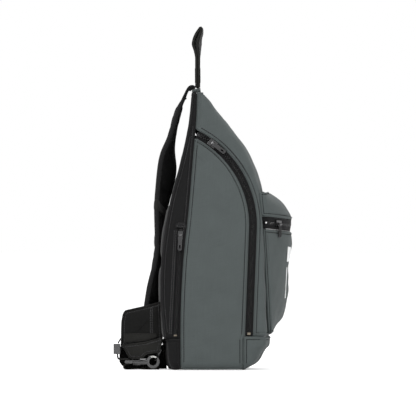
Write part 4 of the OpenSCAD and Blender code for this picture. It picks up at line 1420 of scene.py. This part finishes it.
def make_webbing():
    hook_y = -0.095
    main = [(-121, 37.4), (-121, 28), (-120.8, 20), (-119.4, 16.2), (-115, 15.4), (-109, 15.5),
            (-105.6, 14.6), (-104.5, 12), (-105.6, 9.3), (-109, 8.3), (-111.4, 7.2), (-112, 4.6),
            (-111.6, 2.1)]
    tail = [(-112.2, 4.6), (-111.2, 2.2), (-104, 1.8), (-92, 2.1), (-80, 1.8), (-70, 2.0), (-61.5, 1.8)]
    upper = [(-120.6, 37.6), (-117.5, 42.5), (-111.5, 49.8), (-107, 51.6), (-100, 51.8), (-93, 51.6)]
    runs = [ribbon("web_a", main, hook_y, 0.030, 0.0016, 81)]
    runs.append(ribbon("web_b", tail, -0.0742, 0.0185, 0.0016, 82))
    runs.append(ribbon("web_c", upper, -0.0822, 0.0185, 0.0016, 83))
    share = np.linspace(0, 1, 80)
    low = 0.001 + 0.010 * np.clip(1 - share / 0.16, 0, 1) ** 1.5
    high = 0.033 + 0.002 * share
    p = np.column_stack([-0.1182 + 0.066 * share, -0.0716 + 0.0268 * share, (low + high) / 2])
    p[:, 1] += 0.0016 * np.sin(share * 11)
    tall = ((high - low) / 0.032)[:, None, None] * np.array([1.0, 0]) + np.array([0.0, 1])
    section = flat_section(0.032, 0.0016, 5)[None] * tall
    runs.append(sweep("web_d", p, Z_AXIS, unit(np.cross(tangents(p), Z_AXIS)), section))
    finish_piece(joined("strap_webbing_run", runs), webbing, "strap", "webbing", "strap_webbing")


def make_grab_loop():
    path = [(-9.8, 399), (-9.8, 412), (-9.9, 428), (-10, 442), (-10.6, 452), (-12.2, 461), (-11.2, 469),
            (-8.6, 476), (-5.4, 482), (-3.7, 484.4), (-2.6, 482), (-3.4, 476), (-5.6, 469), (-6.6, 462),
            (-6.6, 453), (-6.4, 442), (-6.5, 428), (-6.4, 412), (-6.4, 399)]

    def turned(z):
        return math.radians(12) * np.interp(z, [0.442, 0.461, 0.476, 0.4844], [0.0, 1.0, 0.55, 0.1])

    loop = ribbon("grab_loop_webbing", path, 0.0, 0.025, 0.0031, 91, turned)
    y = np.linspace(-0.0122, 0.0122, 40)
    root = np.column_stack([np.full(40, -0.0081), y, np.full(40, 0.4016)])
    roll = sweep("loop_root", root, X_AXIS, Z_AXIS, round_section(0.0033, 20))
    obj = joined("grab_loop_webbing", [loop, roll])
    finish_piece(obj, webbing, "grab_loop", "webbing", "haul_loop")
    tree = tree_for(obj)
    lines = []
    for side, x in ((-1, -0.012), (1, -0.0042)):
        box = [(-0.0095, 0.407), (0.0095, 0.407), (0.0095, 0.426), (-0.0095, 0.426), (-0.0095, 0.407)]
        box += [(0.0095, 0.426), (-0.0095, 0.426), (0.0095, 0.407)]
        for a, b in zip(box, box[1:]):
            share = np.linspace(0, 1, 24)[:, None]
            flat = np.array(a) + (np.array(b) - np.array(a)) * share
            line = np.column_stack([np.full(24, x), flat])
            lines.append(laid_on(tree, line, side * X_AXIS))
    stitches("grab_loop_threads", lines, "grab_loop", "webbing", black_thread)


def make_ring_tab():
    path = [(-55.8, 44), (-56.4, 36), (-56.3, 30), (-56.7, 26.9), (-58.4, 25.0), (-60.6, 25.0), (-62.3, 26.9),
            (-62.5, 29.6), (-60.9, 34), (-58.9, 39), (-57.2, 44)]
    obj = ribbon("ring_tab_webbing", path, -0.066, 0.020, 0.0022, 95)
    finish_piece(obj, webbing, "bag", "webbing", "ring_tab")


def make_garage():
    """Hood sewn over the upper end of the back zip."""
    along = unit(BACK_ZIP[0] - BACK_ZIP[1])
    end = BACK_ZIP[0] + along * 0.0012
    a = np.radians(np.linspace(0, 180, 40))
    arc = np.column_stack([np.cos(a), np.sin(a)]) * 0.0082

    def place(q):
        flat = end + q[:, :1] * np.array([along[1], -along[0]]) + q[:, 1:2] * along
        return side_point(flat[:, 0], flat[:, 1], 0.0009)

    hood, loop, _ = plate("back_zip_hood", arc, place, SIDE_OUT, 0.0016, 0.0008, 97, 0.0001)
    finish_piece(hood, binding, "bag", "gusset_fabric", "back_zip_garage")
    lines = [laid_on(tree_for(hood), place(inset_loop(loop, 0.0020)), SIDE_OUT)]
    stitches("hood_threads", lines, "bag", "gusset_fabric", black_thread)


def make_hidden():
    for node in ("main_lining", "back_pocket_lining", "pocket_lining"):
        rumpled(node, "bag", lining, "lining", 0.00035)
    rumpled("back_foam", "bag", foam, "foam", 0.0002, inset=0.0024)
    rumpled("base_board", "bag", foam, "foam", 0.0001)


def make_hardware():
    machined("d_ring", "d_ring", gunmetal, "hardware", 0.0003)
    for node in ("main_slider", "main_pull", "back_slider", "back_pull", "pocket_slider", "pocket_pull"):
        machined(node, node, gunmetal, "hardware", 0.00035)
    machined("adjuster", "adjuster", gunmetal, "hardware", 0.0011, 4)
    machined("hook_base", "strap", gunmetal, "hardware", 0.0008, 4)
    machined("hook_body", "hook", gunmetal, "hardware", 0.0011, 4)
    machined("hook_gate", "hook_gate", bright, "hardware", 0.0003)


# ---------------------------------------------------------------- studio
def make_floor():
    r = np.array([0.0, 0.5, 1, 2, 4, 8, 16, 30])
    a = np.radians(np.arange(0, 361, 15))
    g = np.stack([r[:, None] * np.cos(a), r[:, None] * np.sin(a), np.zeros((len(r), len(a)))], -1)
    floor = new_object("floor_sheet", g.reshape(-1, 3), sheet_faces(len(r), len(a)))
    paper = (0.9, 0.9, 0.9)
    mat, tree, shader = tree_of("floor_paper", paper, 0.9)
    put(shader, {"Emission Color": (0.45, 0.45, 0.45, 1)})
    seen = add(tree, "ShaderNodeLightPath").outputs["Is Camera Ray"]
    tree.links.new(seen, shader.inputs["Emission Strength"])
    grain = noise(tree, add(tree, "ShaderNodeTexCoord").outputs["Object"], 30.0)
    shade(tree, shader, paper, grain, 0.99, 1.01)
    floor.data.materials.append(mat)


def make_world():
    """A dome of light, brighter overhead than at the horizon, that the camera sees as plain white."""
    world = bpy.data.worlds.new("studio")
    world.use_nodes = True
    tree = world.node_tree
    back = tree.nodes["Background"]
    parts = add(tree, "ShaderNodeSeparateXYZ")
    tree.links.new(add(tree, "ShaderNodeTexCoord").outputs["Generated"], parts.inputs[0])
    dome = add(tree, "ShaderNodeMapRange")
    put(dome, {"To Min": 0.15, "To Max": 1.15})
    tree.links.new(parts.outputs[2], dome.inputs["Value"])
    seen = add(tree, "ShaderNodeLightPath").outputs["Is Camera Ray"]
    tree.links.new(maths(tree, "MAXIMUM", dome.outputs[0], seen), back.inputs["Strength"])
    put(back, {"Color": (1, 1, 1, 1)})
    bpy.context.scene.world = world


# Name, place, size and power of each lamp
LAMPS = (
    ("key", (-1.2, -2.2, 2.3), 1.4, 46.0),
    ("fill", (1.9, -1.8, 1.2), 1.6, 20.0),
    ("rim", (0.4, 1.6, 2.2), 1.4, 24.0),
)


def make_lamps():
    for name, place, size, power in LAMPS:
        light = bpy.data.lights.new(name, "AREA")
        light.size = size
        light.energy = power
        lamp = linked(name, light)
        lamp.location = place
        lamp.rotation_euler = (Vector((0, 0, 0.2)) - Vector(place)).to_track_quat("-Z", "Y").to_euler()


def make_camera():
    """A long lens level with the middle of the bag, and plain colours."""
    view = bpy.context.scene.view_settings
    view.view_transform = "Standard"
    view.look = "None"
    view.exposure = 0.0
    camera = bpy.data.cameras.new("camera")
    camera.sensor_width = 36.0
    camera.lens = 731.3
    camera.clip_end = 120.0
    eye = linked("camera", camera)
    eye.location = (0.0065, -12.0, 0.2285)
    eye.rotation_euler = (math.radians(90), 0, 0)
    bpy.context.scene.camera = eye


def build():
    sides = make_side_panels()
    fronts = make_front()
    make_base()
    gussets = make_gussets()
    gussets += [make_back(), make_lower_band()]
    make_piping()
    make_top_cap()
    make_zips()
    upper, lower, pocket_pieces = make_pocket()
    make_patch(lower)
    seam_threads("shell_threads", sides + fronts, shell_thread_lines(), thread)
    seam_threads("gusset_threads", gussets, gusset_thread_lines(), black_thread, slot="gusset_fabric")
    make_pocket_threads(pocket_pieces, upper, lower)
    make_garage()
    make_strap()
    make_strap_root()
    make_wing()
    make_webbing()
    make_grab_loop()
    make_ring_tab()
    make_hidden()
    make_hardware()
    make_floor()
    make_world()
    make_lamps()
    make_camera()


build()
